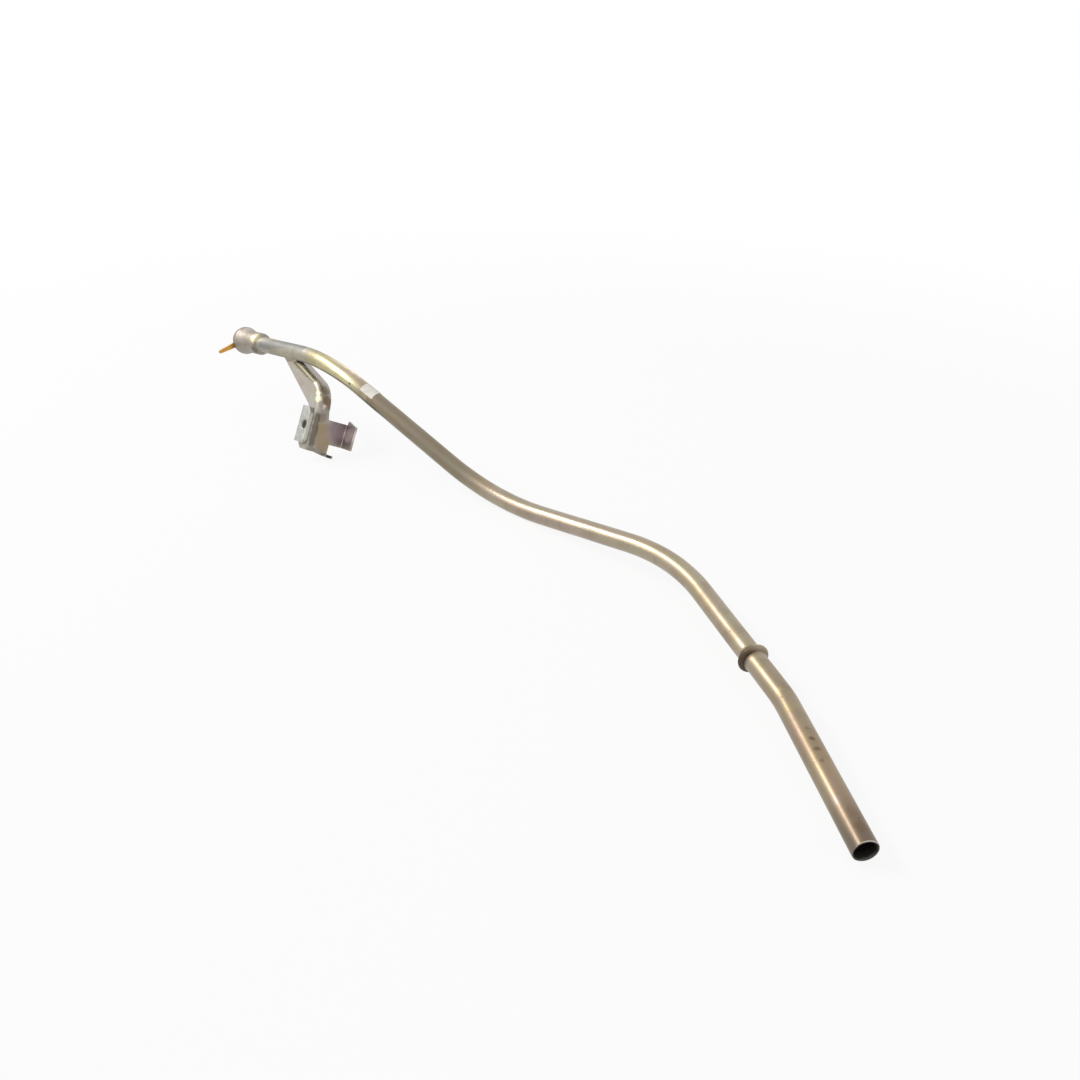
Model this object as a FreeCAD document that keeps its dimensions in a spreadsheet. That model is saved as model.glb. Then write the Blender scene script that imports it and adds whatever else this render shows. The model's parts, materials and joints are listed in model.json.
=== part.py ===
"""Oil dipstick tube: a bent steel guide tube with a rolled bead, a brazed filler socket closed by a
plastic plug, a pressed bracket with a nut plate, and a small paper label.

The tube starts at the centre of its lower mouth, which is the origin. The whole part lies on a level
surface, +Z up, touching it with the lower mouth, the middle bend and the bracket, and the tube runs
along +X towards its head. All lengths are in millimetres and all angles in degrees.
"""
import FreeCAD, Part
import math
import os
import re

import Sketcher

Vector = FreeCAD.Vector
doc = FreeCAD.newDocument("dipstick_tube")

# Driving sizes

SIZES = [
    ("TubeDiameter", 10.0, "outside of the tube"),
    ("TubeWall", 1.0, "wall of the tube"),
    ("MouthRun", 73.0, "straight run at the lower mouth"),
    ("LowerBend", 10.0, "angle of the slight bend under the bead"),
    ("LowerRadius", 65.0, "centreline radius of that bend"),
    ("BeadRun", 70.5, "straight run that carries the bead"),
    ("KneeBend", 31.0, "angle of the bend above the bead"),
    ("KneeRadius", 105.0, "centreline radius of that bend"),
    ("KneeTurn", -28.0, "turn of its plane from the plane of the bend before"),
    ("MiddleRun", 58.5, "short straight run half way up"),
    ("MiddleBend", 29.0, "angle of the middle bend"),
    ("MiddleRadius", 140.0, "centreline radius of that bend"),
    ("MiddleTurn", 98.0, "turn of its plane from the plane of the bend before"),
    ("UpperRun", 94.5, "straight run that carries the label"),
    ("NeckBend", 31.0, "angle of the bend under the head"),
    ("NeckRadius", 40.0, "centreline radius of that bend"),
    ("NeckTurn", 173.0, "turn of its plane from the plane of the bend before"),
    ("HeadRun", 79.0, "straight run into the filler socket"),
    ("BeadFromBend", 20.5, "from the lower bend to the middle of the bead"),
    ("BeadDiameter", 14.0, "outside of the bead"),
    ("BeadRound", 1.7, "radius of the bead's round"),
    ("BeadRootHeight", 0.8, "rise of the tube beside the bead"),
    ("BeadRootLength", 3.4, "length of that rise on each side"),
    ("RimDiameter", 17.9, "outside of the filler cup"),
    ("RimLand", 2.5, "straight stretch of the cup behind its rim"),
    ("CupBore", 16.0, "inside of the cup at its rim"),
    ("CupDepth", 9.0, "depth of the cup's tapered inside"),
    ("CupBottom", 12.2, "inside of the cup at the end of that taper"),
    ("ThroatDiameter", 8.4, "narrow end of the cup, at the end of the tube"),
    ("ConeEnd", 9.5, "from the rim to the end of the outside taper"),
    ("SocketDiameter", 14.2, "outside of the socket behind the cup"),
    ("SeatDepth", 12.0, "from the rim to the end of the tube"),
    ("SocketLength", 24.0, "whole length of the filler socket"),
    ("SocketShoulder", 2.0, "round of the socket's rear shoulder"),
    ("RimEdge", 0.4, "broken edge of the cup's rim"),
    ("BrazeLeg", 1.1, "leg of the brazed fillet behind the socket"),
    ("SheetThickness", 1.6, "sheet of the bracket"),
    ("BracketFromRim", 56.3, "from the rim to the bracket"),
    ("BracketClock", 45.0, "turn of the bracket from the inside of the neck bend"),
    ("FlangeFoot", 11.1, "length of the flange's foot, from its sloping edge to the web"),
    ("FlangeShoulder", 29.0, "depth under the tube's axis where that slope ends"),
    ("ArmStart", 10.57, "from the flange's rear corner to the arm, beside the tube"),
    ("ArmAngle", 20.0, "slope of the bracket's arm to the tube"),
    ("ArmRadius", 18.0, "bend of the arm, on its outside"),
    ("ArmWidth", 8.3, "width of the arm"),
    ("ArmStraight", 4.9, "straight stretch of the arm, from its bend down to the plate"),
    ("PlateWidth", 14.2, "width of the web's plate"),
    ("PlateDepth", 34.9, "depth of the plate's and the tab's upper edge"),
    ("TabReach", 24.8, "from the flange to the outside of the tab's lip"),
    ("TabHeight", 14.8, "height of the tab"),
    ("FootBelowTab", 6.3, "from the tab's lower edge down to the bracket's foot"),
    ("ArmGusset", 1.2, "widening of the arm down to the tab"),
    ("LipLength", 9.3, "reach of the side lip in front of the web"),
    ("LipRise", 2.4, "rise of the side lip's inner corner over the tab"),
    ("FootDrop", 1.2, "drop of the plate's lower edge across its width"),
    ("FootLipLength", 7.2, "reach of the foot's tongue in front of the web"),
    ("FootLipWidth", 2.8, "width of the foot's tongue"),
    ("CornerBend", 1.6, "inside radius of the bend between flange and web"),
    ("BendInside", 0.8, "inside radius of the lips' bends"),
    ("CornerChamfer", 2.6, "cut corner of the flange's foot"),
    ("WeldLeg", 1.6, "leg of the weld between flange and tube"),
    ("WeldEnds", 0.8, "from the flange's corner to the weld"),
    ("NearWeld", 14.0, "length of the weld on the nut's side"),
    ("FarWeld", 6.6, "length of the weld on the arm's side"),
    ("NutThickness", 2.5, "thickness of the nut plate"),
    ("NutWidth", 9.5, "width of the nut plate"),
    ("NutHeight", 22.4, "height of the nut plate"),
    ("NutMargin", 3.2, "from the web's front face to the nut plate"),
    ("NutBelowPlate", 6.4, "from the plate's upper edge down to the middle of the nut plate"),
    ("HoleFromWeb", 6.9, "from the web's front face to the threaded hole"),
    ("ThreadBore", 5.0, "minor diameter of the M6 thread"),
    ("ThreadMouth", 6.6, "countersink of the thread"),
    ("BoltHole", 6.4, "hole in the flange behind the nut plate"),
    ("NutEar", 1.5, "small ear at the nut plate's lower corner"),
    ("NutEarThickness", 1.4, "thickness of that ear"),
    ("NutCorner", 0.6, "rounded corners of the nut plate"),
    ("NutCut", 2.4, "cut upper corner of the nut plate"),
    ("ThreadMouthDepth", 0.7, "depth of the thread's countersink"),
    ("PlugFlange", 16.8, "diameter of the plug's flange"),
    ("PlugFlangeThickness", 1.4, "thickness of the plug's flange"),
    ("PlugClearance", 0.2, "gap between the plug and the cup"),
    ("PlugDepth", 8.0, "depth of the plug in the cup"),
    ("PlugWall", 1.4, "wall of the hollow plug"),
    ("PlugFloor", 1.5, "floor of the hollow plug"),
    ("PlugRound", 0.4, "rounded edge of the plug's flange and tab"),
    ("TabLength", 20.3, "from the plug's axis to the tip of its pull tab"),
    ("TabRoot", 3.6, "width of the pull tab at the flange"),
    ("TabTip", 2.2, "width of the pull tab at its tip"),
    ("TabClock", 50.0, "turn of the pull tab from the bracket's side"),
    ("LabelFromBend", 22.0, "from the neck bend to the label"),
    ("LabelLength", 10.0, "length of the label along the tube"),
    ("LabelThickness", 0.15, "thickness of the paper and its glue"),
    ("LabelStart", 138.0, "first edge of the label from the inside of the neck bend"),
    ("LabelWrap", 200.0, "part of the tube's round that the label covers"),
]

# Sizes that follow from the driving ones: the web stands where the sloping arm comes down to it
DERIVED = {
    "FlangeTaper": "(WebFront - FlangeFoot)",
    "WebFront": "(ArmStart + ArmSlope / tan(ArmAngle) + ArmRadius * (1 - sin(ArmAngle)))",
    "ArmSlope": "(-TubeDiameter / 4 - ArmRadius * cos(ArmAngle) - ArmFoot)",
    "ArmFoot": "(ArmStraight - PlateDepth)",
}

sheet = doc.addObject("Spreadsheet::Sheet", "Sizes")
for row, (alias, value, meaning) in enumerate(SIZES, start=1):
    sheet.set(f"A{row}", alias)
    sheet.set(f"B{row}", str(value))
    sheet.set(f"C{row}", meaning)
    sheet.setAlias(f"B{row}", alias)
doc.recompute()


def named(text):
    """Lets an expression name a size by its alias alone, and writes out the derived sizes."""
    for name, formula in DERIVED.items():
        text = re.sub(rf"\b{name}\b", formula, text)
    aliases = "|".join(alias for alias, _, _ in SIZES)
    return re.sub(rf"\b({aliases})\b", r"Sizes.\1", text)


def size(name):
    """The value of a driving or derived size."""
    if name in DERIVED:
        return float(sheet.evalExpression(named(name).replace("Sizes.", "")))
    return float(getattr(sheet, name))


# Drawing helpers

def origin_part(body, role):
    return next(item for item in body.Origin.OriginFeatures if item.Role == role)


def new_body(name):
    body = doc.addObject("PartDesign::Body", name)
    body.Label = name
    return body


def new_sketch(body, name, plane, offset="0"):
    """A sketch on one of the body's own planes, moved along the plane's normal by offset."""
    sketch = body.newObject("Sketcher::SketchObject", name)
    sketch.AttachmentSupport = (origin_part(body, plane), [""])
    sketch.MapMode = "FlatFace"
    sketch.setExpression("AttachmentOffset.Base.z", named(offset))
    return sketch


def pin_point(sketch, index, point, x_text, y_text):
    """Holds a sketch point at x, y, each given as an expression of the named sizes."""
    for kind, axis, text in (("DistanceX", -2, x_text), ("DistanceY", -1, y_text)):
        if text == "0":
            sketch.addConstraint(Sketcher.Constraint("PointOnObject", index, point, axis))
            continue
        value = float(sketch.evalExpression(named(text)))
        label = f"{kind[-1]}{index}_{point}"
        added = sketch.addConstraint(Sketcher.Constraint(kind, -1, 1, index, point, value))
        sketch.renameConstraint(added, label)
        sketch.setExpression(f"Constraints.{label}", named(text))


def outline(sketch, corners):
    """A closed outline. A corner is (x, y), or (x, y, radius, side) when an arc leads to it:
    side is 1 where the arc's centre lies on the left of the way drawn, and -1 on the right."""
    places = [Vector(*(float(sketch.evalExpression(named(t))) for t in c[:2]), 0) for c in corners]
    pieces = []
    for k, corner in enumerate(corners):
        start, end = places[k - 1], places[k]
        if len(corner) == 2:
            index = sketch.addGeometry(Part.LineSegment(start, end), False)
            pieces.append((index, 1, 2))
            continue
        radius = float(sketch.evalExpression(named(corner[2])))
        chord = end - start
        across = Vector(-chord.y, chord.x, 0).normalize() * corner[3]
        depth = math.sqrt(max(radius**2 - chord.Length**2 / 4, 0))
        centre = (start + end) * 0.5 + across * depth
        first, last = (start, end) if corner[3] > 0 else (end, start)
        angles = [math.atan2(p.y - centre.y, p.x - centre.x) for p in (first, last)]
        circle = Part.Circle(centre, Vector(0, 0, 1), radius)
        index = sketch.addGeometry(Part.ArcOfCircle(circle, *angles), False)
        pieces.append((index, 1, 2) if corner[3] > 0 else (index, 2, 1))
        added = sketch.addConstraint(Sketcher.Constraint("Radius", index, radius))
        sketch.renameConstraint(added, f"Radius{index}")
        sketch.setExpression(f"Constraints.Radius{index}", named(corner[2]))
    for k, (index, _, last_point) in enumerate(pieces):
        following, first_point, _ = pieces[(k + 1) % len(pieces)]
        joint = Sketcher.Constraint("Coincident", index, last_point, following, first_point)
        sketch.addConstraint(joint)
        pin_point(sketch, index, last_point, *corners[k][:2])
    return sketch


def circle(sketch, x_text, y_text, diameter):
    """A circle held at x, y with a bound diameter."""
    place = Vector(*(float(sketch.evalExpression(named(t))) for t in (x_text, y_text)), 0)
    across = size(diameter)
    index = sketch.addGeometry(Part.Circle(place, Vector(0, 0, 1), across / 2), False)
    if x_text == y_text == "0":
        sketch.addConstraint(Sketcher.Constraint("Coincident", index, 3, -1, 1))
    else:
        pin_point(sketch, index, 3, x_text, y_text)
    added = sketch.addConstraint(Sketcher.Constraint("Diameter", index, across))
    sketch.renameConstraint(added, diameter)
    sketch.setExpression(f"Constraints.{diameter}", named(diameter))


def pad(body, name, sketch, length, backwards=False, midplane=False):
    feature = body.newObject("PartDesign::Pad", name)
    feature.Profile = sketch
    feature.setExpression("Length", named(length))
    feature.Reversed = backwards
    feature.Midplane = midplane
    body.Tip = feature
    return feature


def through_cut(body, name, sketch):
    feature = body.newObject("PartDesign::Pocket", name)
    feature.Profile = sketch
    feature.Type = "ThroughAll"
    feature.Midplane = True
    body.Tip = feature
    return feature


def turned(body, name, sketch):
    """Turns a profile drawn over the X axis right round that axis."""
    feature = body.newObject("PartDesign::Revolution", name)
    feature.Profile = sketch
    feature.ReferenceAxis = (origin_part(body, "X_Axis"), [""])
    feature.Angle = 360
    body.Tip = feature
    return feature


def edges_where(feature, test):
    """Names of a feature's edges whose middle point and edge pass a test."""
    names = []
    for index, edge in enumerate(feature.Shape.Edges, start=1):
        middle = edge.valueAt((edge.FirstParameter + edge.LastParameter) / 2)
        if test(middle, edge):
            names.append(f"Edge{index}")
    return names


def rounded(body, name, feature, edges, radius):
    added = body.newObject("PartDesign::Fillet", name)
    added.Base = (feature, edges)
    added.setExpression("Radius", named(radius))
    body.Tip = added
    doc.recompute()
    return added


def chamfered(body, name, feature, edges, cut):
    added = body.newObject("PartDesign::Chamfer", name)
    added.Base = (feature, edges)
    added.setExpression("Size", named(cut))
    body.Tip = added
    doc.recompute()
    return added


def near(a, b):
    return abs(a - b) < 1e-3


def outer(p):
    """True outside the plug's hollow."""
    return math.hypot(p.y, p.z) > size("CupBore") / 2


# The tube's path: straight runs joined by tangent arcs

RUNS = ("MouthRun", "BeadRun", "MiddleRun", "UpperRun", "HeadRun")
BENDS = (
    ("LowerBend", "LowerRadius", None),
    ("KneeBend", "KneeRadius", "KneeTurn"),
    ("MiddleBend", "MiddleRadius", "MiddleTurn"),
    ("NeckBend", "NeckRadius", "NeckTurn"),
)


def turn_about(axis, degrees):
    return FreeCAD.Rotation(axis, degrees)


def walk_path():
    """Follows the bend table from the mouth. Gives the path's edges and, for each straight run, its
    start, its direction and the side that the bend before it curves to."""
    point, along, side = Vector(0, 0, 0), Vector(1, 0, 0), Vector(0, 0, 1)
    edges, stations, arcs = [], [], []
    for k, run in enumerate(RUNS):
        stations.append((point, along, side))
        end = point + along * size(run)
        edges.append(Part.LineSegment(point, end).toShape())
        point = end
        if k == len(BENDS):
            break
        bend, radius, turn = BENDS[k]
        if turn:
            side = turn_about(along, size(turn)).multVec(side)
        axis = along.cross(side)
        centre = point + side * size(radius)
        arm = point - centre
        half, full = (turn_about(axis, size(bend) * share) for share in (0.5, 1))
        middle, end = centre + half.multVec(arm), centre + full.multVec(arm)
        edges.append(Part.Arc(point, middle, end).toShape())
        arcs.append((centre, axis, arm, size(bend)))
        point, along, side = end, full.multVec(along), full.multVec(side)
    return edges, stations, arcs, point


path_edges, stations, arcs, tube_end = walk_path()
path = doc.addObject("Part::Feature", "tube_path")
path.Shape = Part.Wire(path_edges)

# Frames on the tube: x towards the lower mouth, z away from the bracket

head_along = stations[-1][1]
head_inside = stations[-1][2]
rim_centre = tube_end + head_along * size("SeatDepth")


def frame(place, x_axis, z_axis):
    rotation = FreeCAD.Rotation(x_axis, Vector(0, 0, 0), z_axis, "XZY")
    return FreeCAD.Placement(place, rotation)


bracket_down = turn_about(head_along, size("BracketClock")).multVec(head_inside)
head_frame = frame(rim_centre, -head_along, -bracket_down)
bracket_frame = frame(
    rim_centre - head_along * size("BracketFromRim"), -head_along, -bracket_down
)
tab_down = turn_about(head_along, size("TabClock")).multVec(bracket_down)
plug_frame = frame(rim_centre, -head_along, -tab_down)
upper_start, upper_along, upper_side = stations[3]
label_reach = size("UpperRun") - size("LabelFromBend") - size("LabelLength")
label_edge = turn_about(upper_along, size("NeckTurn") + size("LabelStart")).multVec(upper_side)
label_frame = FreeCAD.Placement(
    upper_start + upper_along * label_reach,
    FreeCAD.Rotation(label_edge, Vector(0, 0, 0), upper_along, "ZXY"),
)


# The pose in which the part lies on a level surface

def lowest_of_ring(centre, axis, radius, up):
    sideways = up - axis * up.dot(axis)
    return centre - sideways.normalize() * radius


def resting_up(corners):
    """Upward direction when mouth, middle bend and the lowest bracket corner touch the surface."""
    radius = size("TubeDiameter") / 2
    centre, axis, arm, angle = arcs[2]
    up = -bracket_down
    for _ in range(40):
        feet = [lowest_of_ring(Vector(0, 0, 0), Vector(1, 0, 0), radius, up)]
        bend = []
        for step in range(61):
            spin = turn_about(axis, angle * step / 60)
            reach = spin.multVec(arm)
            direction = axis.cross(reach).normalize()
            bend.append(lowest_of_ring(centre + reach, direction, radius, up))
        feet.append(min(bend, key=up.dot))
        feet.append(min(corners, key=up.dot))
        normal = (feet[1] - feet[0]).cross(feet[2] - feet[0]).normalize()
        up = normal if normal.dot(up) > 0 else -normal
    return up


lip_floor = -size("PlateDepth") - size("TabHeight")
lip_outside = size("TabReach") - size("SheetThickness") / 2
foot_floor = lip_floor - size("FootBelowTab") - size("FootDrop")
foot_side = size("PlateWidth") - size("SheetThickness") / 2
lip_corners = [
    bracket_frame.multVec(Vector(size("WebFront") + reach, side, floor))
    for reach, side, floor in (
        (0, lip_outside, lip_floor),
        (size("LipLength"), lip_outside, lip_floor),
        (size("BendInside"), foot_side, foot_floor),
        (size("FootLipLength"), foot_side, foot_floor),
    )
]
up = resting_up(lip_corners)
forward = tube_end - up * tube_end.dot(up)
forward.normalize()
lay = FreeCAD.Placement(
    Vector(0, 0, 0), FreeCAD.Rotation(forward, Vector(0, 0, 0), up, "XZY").inverted()
)


# Tube with its rolled bead

def make_tube():
    across = FreeCAD.Rotation(Vector(0, 1, 0), 90)
    sweeps = []
    for name, radius in (
        ("outside", "TubeDiameter / 2"),
        ("inside", "TubeDiameter / 2 - TubeWall"),
    ):
        circle = doc.addObject("Part::Circle", f"tube_{name}_circle")
        circle.setExpression("Radius", named(radius))
        circle.Placement = FreeCAD.Placement(Vector(0, 0, 0), across)
        sweep = doc.addObject("Part::Sweep", f"tube_{name}")
        sweep.Sections = [circle]
        sweep.Spine = (path, [f"Edge{k + 1}" for k in range(len(path_edges))])
        sweep.Solid = True
        sweeps.append(sweep)
    run_start, run_along, _ = stations[1]
    middle = run_start + run_along * size("BeadFromBend")
    along_bead = FreeCAD.Rotation(Vector(0, 0, 1), run_along)
    bead = doc.addObject("Part::Torus", "bead_round")
    bead.setExpression("Radius1", named("BeadDiameter / 2 - BeadRound"))
    bead.setExpression("Radius2", named("BeadRound"))
    bead.Placement = FreeCAD.Placement(middle, along_bead)
    roots = []
    for name, turn in (("upper", 0), ("lower", 180)):
        root = doc.addObject("Part::Cone", f"bead_root_{name}")
        root.setExpression("Radius1", named("TubeDiameter / 2 + BeadRootHeight"))
        root.setExpression("Radius2", named("TubeDiameter / 2"))
        root.setExpression("Height", named("BeadRootLength"))
        flip = FreeCAD.Rotation(Vector(1, 0, 0), turn)
        root.Placement = FreeCAD.Placement(middle, along_bead.multiply(flip))
        roots.append(root)
    outside = doc.addObject("Part::MultiFuse", "tube_and_bead")
    outside.Shapes = [sweeps[0], bead, *roots]
    tube = doc.addObject("Part::Cut", "tube")
    tube.Base = outside
    tube.Tool = sweeps[1]
    tube.Placement = lay
    return tube


# Filler socket: a turned cup and socket, brazed over the end of the tube

def make_head_socket():
    body = new_body("head_socket")
    section = outline(new_sketch(body, "socket_section", "XZ_Plane"), [
        ("0", "CupBore / 2"),
        ("0", "RimDiameter / 2"),
        ("RimLand", "RimDiameter / 2"),
        ("ConeEnd", "SocketDiameter / 2"),
        ("SocketLength", "SocketDiameter / 2"),
        ("SocketLength", "TubeDiameter / 2"),
        ("SeatDepth", "TubeDiameter / 2"),
        ("SeatDepth", "ThroatDiameter / 2"),
        ("CupDepth", "CupBottom / 2"),
    ])
    blank = turned(body, "socket_blank", section)
    doc.recompute()
    rim = edges_where(
        blank,
        lambda p, e: near(p.x, 0) and near(e.Curve.Radius, size("RimDiameter") / 2),
    )
    rim_done = chamfered(body, "rim_edge", blank, rim, "RimEdge")
    shoulder = edges_where(
        rim_done,
        lambda p, e: near(p.x, size("SocketLength"))
        and near(e.Curve.Radius, size("SocketDiameter") / 2),
    )
    shoulder_done = rounded(body, "shoulder_round", rim_done, shoulder, "SocketShoulder")
    necks = edges_where(
        shoulder_done,
        lambda p, e: near(p.x, size("ConeEnd")) or near(p.x, size("RimLand")),
    )
    rounded(body, "neck_round", shoulder_done, necks, "SocketShoulder * 2")
    body.Placement = lay.multiply(head_frame)
    return body


# Brazed fillet between the socket's rear face and the tube

def make_braze():
    body = new_body("braze_fillet")
    section = outline(new_sketch(body, "braze_section", "XZ_Plane"), [
        ("SocketLength", "TubeDiameter / 2"),
        ("SocketLength + BrazeLeg", "TubeDiameter / 2"),
        ("SocketLength", "TubeDiameter / 2 + BrazeLeg"),
    ])
    turned(body, "braze_ring", section)
    body.Placement = lay.multiply(head_frame)
    return body


# Pressed bracket: a flange along the tube, an arm that bends down, a plate with a lipped tab

FOOT = "(-PlateDepth - TabHeight - FootBelowTab)"
NUT_MIDDLE = "(-PlateDepth - NutBelowPlate)"
ARM_X = "(WebFront - ArmRadius * (1 - sin(ArmAngle)))"
ARM_Z = f"(ArmRadius * cos(ArmAngle) + ArmFoot)"
INNER = "(ArmRadius - SheetThickness)"
INNER_X = f"(WebFront - ArmRadius + {INNER} * sin(ArmAngle))"
INNER_Z = f"({INNER} * cos(ArmAngle) + ArmFoot)"


def arm_start(corner_x, corner_z):
    """Where the arm's straight stretch, drawn back from a corner, reaches the tube's axis height."""
    return f"{corner_x} + {corner_z} / tan(ArmAngle)"


def make_bracket():
    body = new_body("bracket")
    half = "SheetThickness / 2"
    outer = "(BendInside + SheetThickness)"
    sole = f"({FOOT} - FootDrop)"
    flange = outline(new_sketch(body, "flange_outline", "XZ_Plane"), [
        ("0", "-TubeDiameter / 4"),
        ("0", "-TubeDiameter / 2 - SheetThickness / 4"),
        ("FlangeTaper", "-FlangeShoulder"),
        ("FlangeTaper", f"{FOOT} + CornerChamfer"),
        ("FlangeTaper + CornerChamfer", FOOT),
        ("WebFront", FOOT),
        ("WebFront", "ArmFoot"),
        (ARM_X, ARM_Z, "ArmRadius", 1),
        (arm_start(ARM_X, f"({ARM_Z} + TubeDiameter / 4)"), "-TubeDiameter / 4"),
    ])
    pad(body, "flange", flange, "SheetThickness", midplane=True)
    arm = outline(new_sketch(body, "arm_section", "XZ_Plane", half), [
        ("WebFront", "-PlateDepth"),
        ("WebFront", "ArmFoot"),
        (ARM_X, ARM_Z, "ArmRadius", 1),
        (arm_start(ARM_X, f"({ARM_Z} + TubeDiameter / 4)"), "-TubeDiameter / 4"),
        (arm_start(INNER_X, f"({INNER_Z} + TubeDiameter / 4)"), "-TubeDiameter / 4"),
        (INNER_X, INNER_Z),
        ("WebFront - SheetThickness", "ArmFoot", INNER, -1),
        ("WebFront - SheetThickness", "-PlateDepth"),
    ])
    pad(body, "arm", arm, "ArmWidth", backwards=True)
    plate = outline(new_sketch(body, "plate_outline", "YZ_Plane", "WebFront"), [
        (f"-{half}", FOOT),
        (f"{half} + CornerBend + SheetThickness", FOOT),
        (f"PlateWidth - FootLipWidth - {half}", sole),
        (f"PlateWidth - FootLipWidth - {half}", f"{sole} + {outer}"),
        (f"PlateWidth - {half}", f"{sole} + {outer}"),
        (f"PlateWidth - {half}", "-PlateDepth - TabHeight"),
        (f"PlateWidth + {half}", "-PlateDepth - TabHeight"),
        (f"PlateWidth + {half}", "-PlateDepth"),
        (f"ArmWidth + ArmGusset - {half}", "-PlateDepth"),
        (f"ArmWidth - {half}", "ArmFoot"),
        (f"-{half}", "ArmFoot"),
    ])
    pad(body, "plate", plate, "SheetThickness", backwards=True)
    lip_line = f"TabReach - {half}"
    tab = outline(new_sketch(body, "tab_section", "XY_Plane", "-PlateDepth - TabHeight"), [
        ("WebFront - SheetThickness", f"PlateWidth - {half}"),
        ("WebFront", f"PlateWidth - {half}"),
        ("WebFront", f"{lip_line} - {outer}"),
        ("WebFront + BendInside", f"{lip_line} - SheetThickness", "BendInside", -1),
        ("WebFront + LipLength", f"{lip_line} - SheetThickness"),
        ("WebFront + LipLength", lip_line),
        ("WebFront + BendInside", lip_line),
        ("WebFront - SheetThickness", f"{lip_line} - {outer}", outer, 1),
    ])
    pad(body, "tab", tab, "TabHeight")
    rise = outline(new_sketch(body, "lip_rise_outline", "XZ_Plane", f"-({lip_line})"), [
        ("WebFront + BendInside", "-PlateDepth - TabHeight / 2"),
        ("WebFront + LipLength", "-PlateDepth - TabHeight / 2"),
        ("WebFront + LipLength", "-PlateDepth"),
        ("WebFront + BendInside", "LipRise - PlateDepth"),
    ])
    pad(body, "lip_rise", rise, "SheetThickness")
    foot = outline(new_sketch(body, "foot_section", "XZ_Plane", f"{half} - PlateWidth"), [
        ("WebFront - SheetThickness", f"{sole} + TubeDiameter / 4"),
        ("WebFront - SheetThickness", f"{sole} + {outer}"),
        ("WebFront + BendInside", sole, outer, 1),
        ("WebFront + FootLipLength", sole),
        ("WebFront + FootLipLength", f"{sole} + SheetThickness"),
        ("WebFront + BendInside", f"{sole} + SheetThickness"),
        ("WebFront", f"{sole} + {outer}", "BendInside", -1),
        ("WebFront", f"{sole} + TubeDiameter / 4"),
    ])
    pad(body, "foot_lip", foot, "FootLipWidth")
    doc.recompute()
    return finish_bracket(body)


def on_web(p, depth):
    """True for a point on the web or its arm, at a depth behind their front face."""
    slope = math.radians(size("ArmAngle"))
    bend = (size("WebFront") - size("ArmRadius"), size("ArmFoot"))
    x, z = p.x - bend[0], p.z - bend[1]
    radius = size("ArmRadius") - depth
    if z < 0:
        return near(x, radius)
    if math.atan2(z, x) < math.pi / 2 - slope:
        return near(math.hypot(x, z), radius)
    return near(x * math.sin(slope) + z * math.cos(slope), radius)


def finish_bracket(body):
    """Cuts the tube's saddle and the bolt hole, and rounds the pressed corners."""
    half = size("SheetThickness") / 2
    last = body.Tip
    inside = edges_where(last, lambda p, e: near(p.y, half) and on_web(p, size("SheetThickness")))
    pressed = rounded(body, "corner_inside", last, inside, "CornerBend")
    outside = edges_where(pressed, lambda p, e: near(p.y, -half) and on_web(p, 0))
    rounded(body, "corner_outside", pressed, outside, "CornerBend + SheetThickness")
    saddle = new_sketch(body, "saddle_circle", "YZ_Plane")
    circle(saddle, "0", "0", "TubeDiameter")
    through_cut(body, "saddle", saddle)
    hole = new_sketch(body, "bolt_circle", "XZ_Plane")
    circle(hole, "WebFront - HoleFromWeb", NUT_MIDDLE, "BoltHole")
    through_cut(body, "bolt_hole", hole)
    body.Placement = lay.multiply(bracket_frame)
    return body


# Welds along both sides of the flange, where it stands on the tube

def make_welds():
    body = new_body("bracket_weld")
    half = "SheetThickness / 2"
    reach = f"({half} + WeldLeg)"
    root = f"-sqrt(TubeDiameter^2 / 4 - {half} * {half})"
    toe = f"-sqrt(TubeDiameter^2 / 4 - {reach} * {reach})"
    for name, sign, length in (("near_weld", -1, "NearWeld"), ("far_weld", 1, "FarWeld")):
        section = outline(new_sketch(body, f"{name}_section", "YZ_Plane", "WeldEnds"), [
            (f"{sign} * {half}", f"{root} - WeldLeg"),
            (f"{sign} * {reach}", toe, "WeldLeg * 1.6", sign),
            (f"{sign} * {half}", root, "TubeDiameter / 2", -sign),
        ])
        pad(body, name, section, length)
    body.Placement = lay.multiply(bracket_frame)
    return body


# Nut plate on the flange, with its threaded hole

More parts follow.
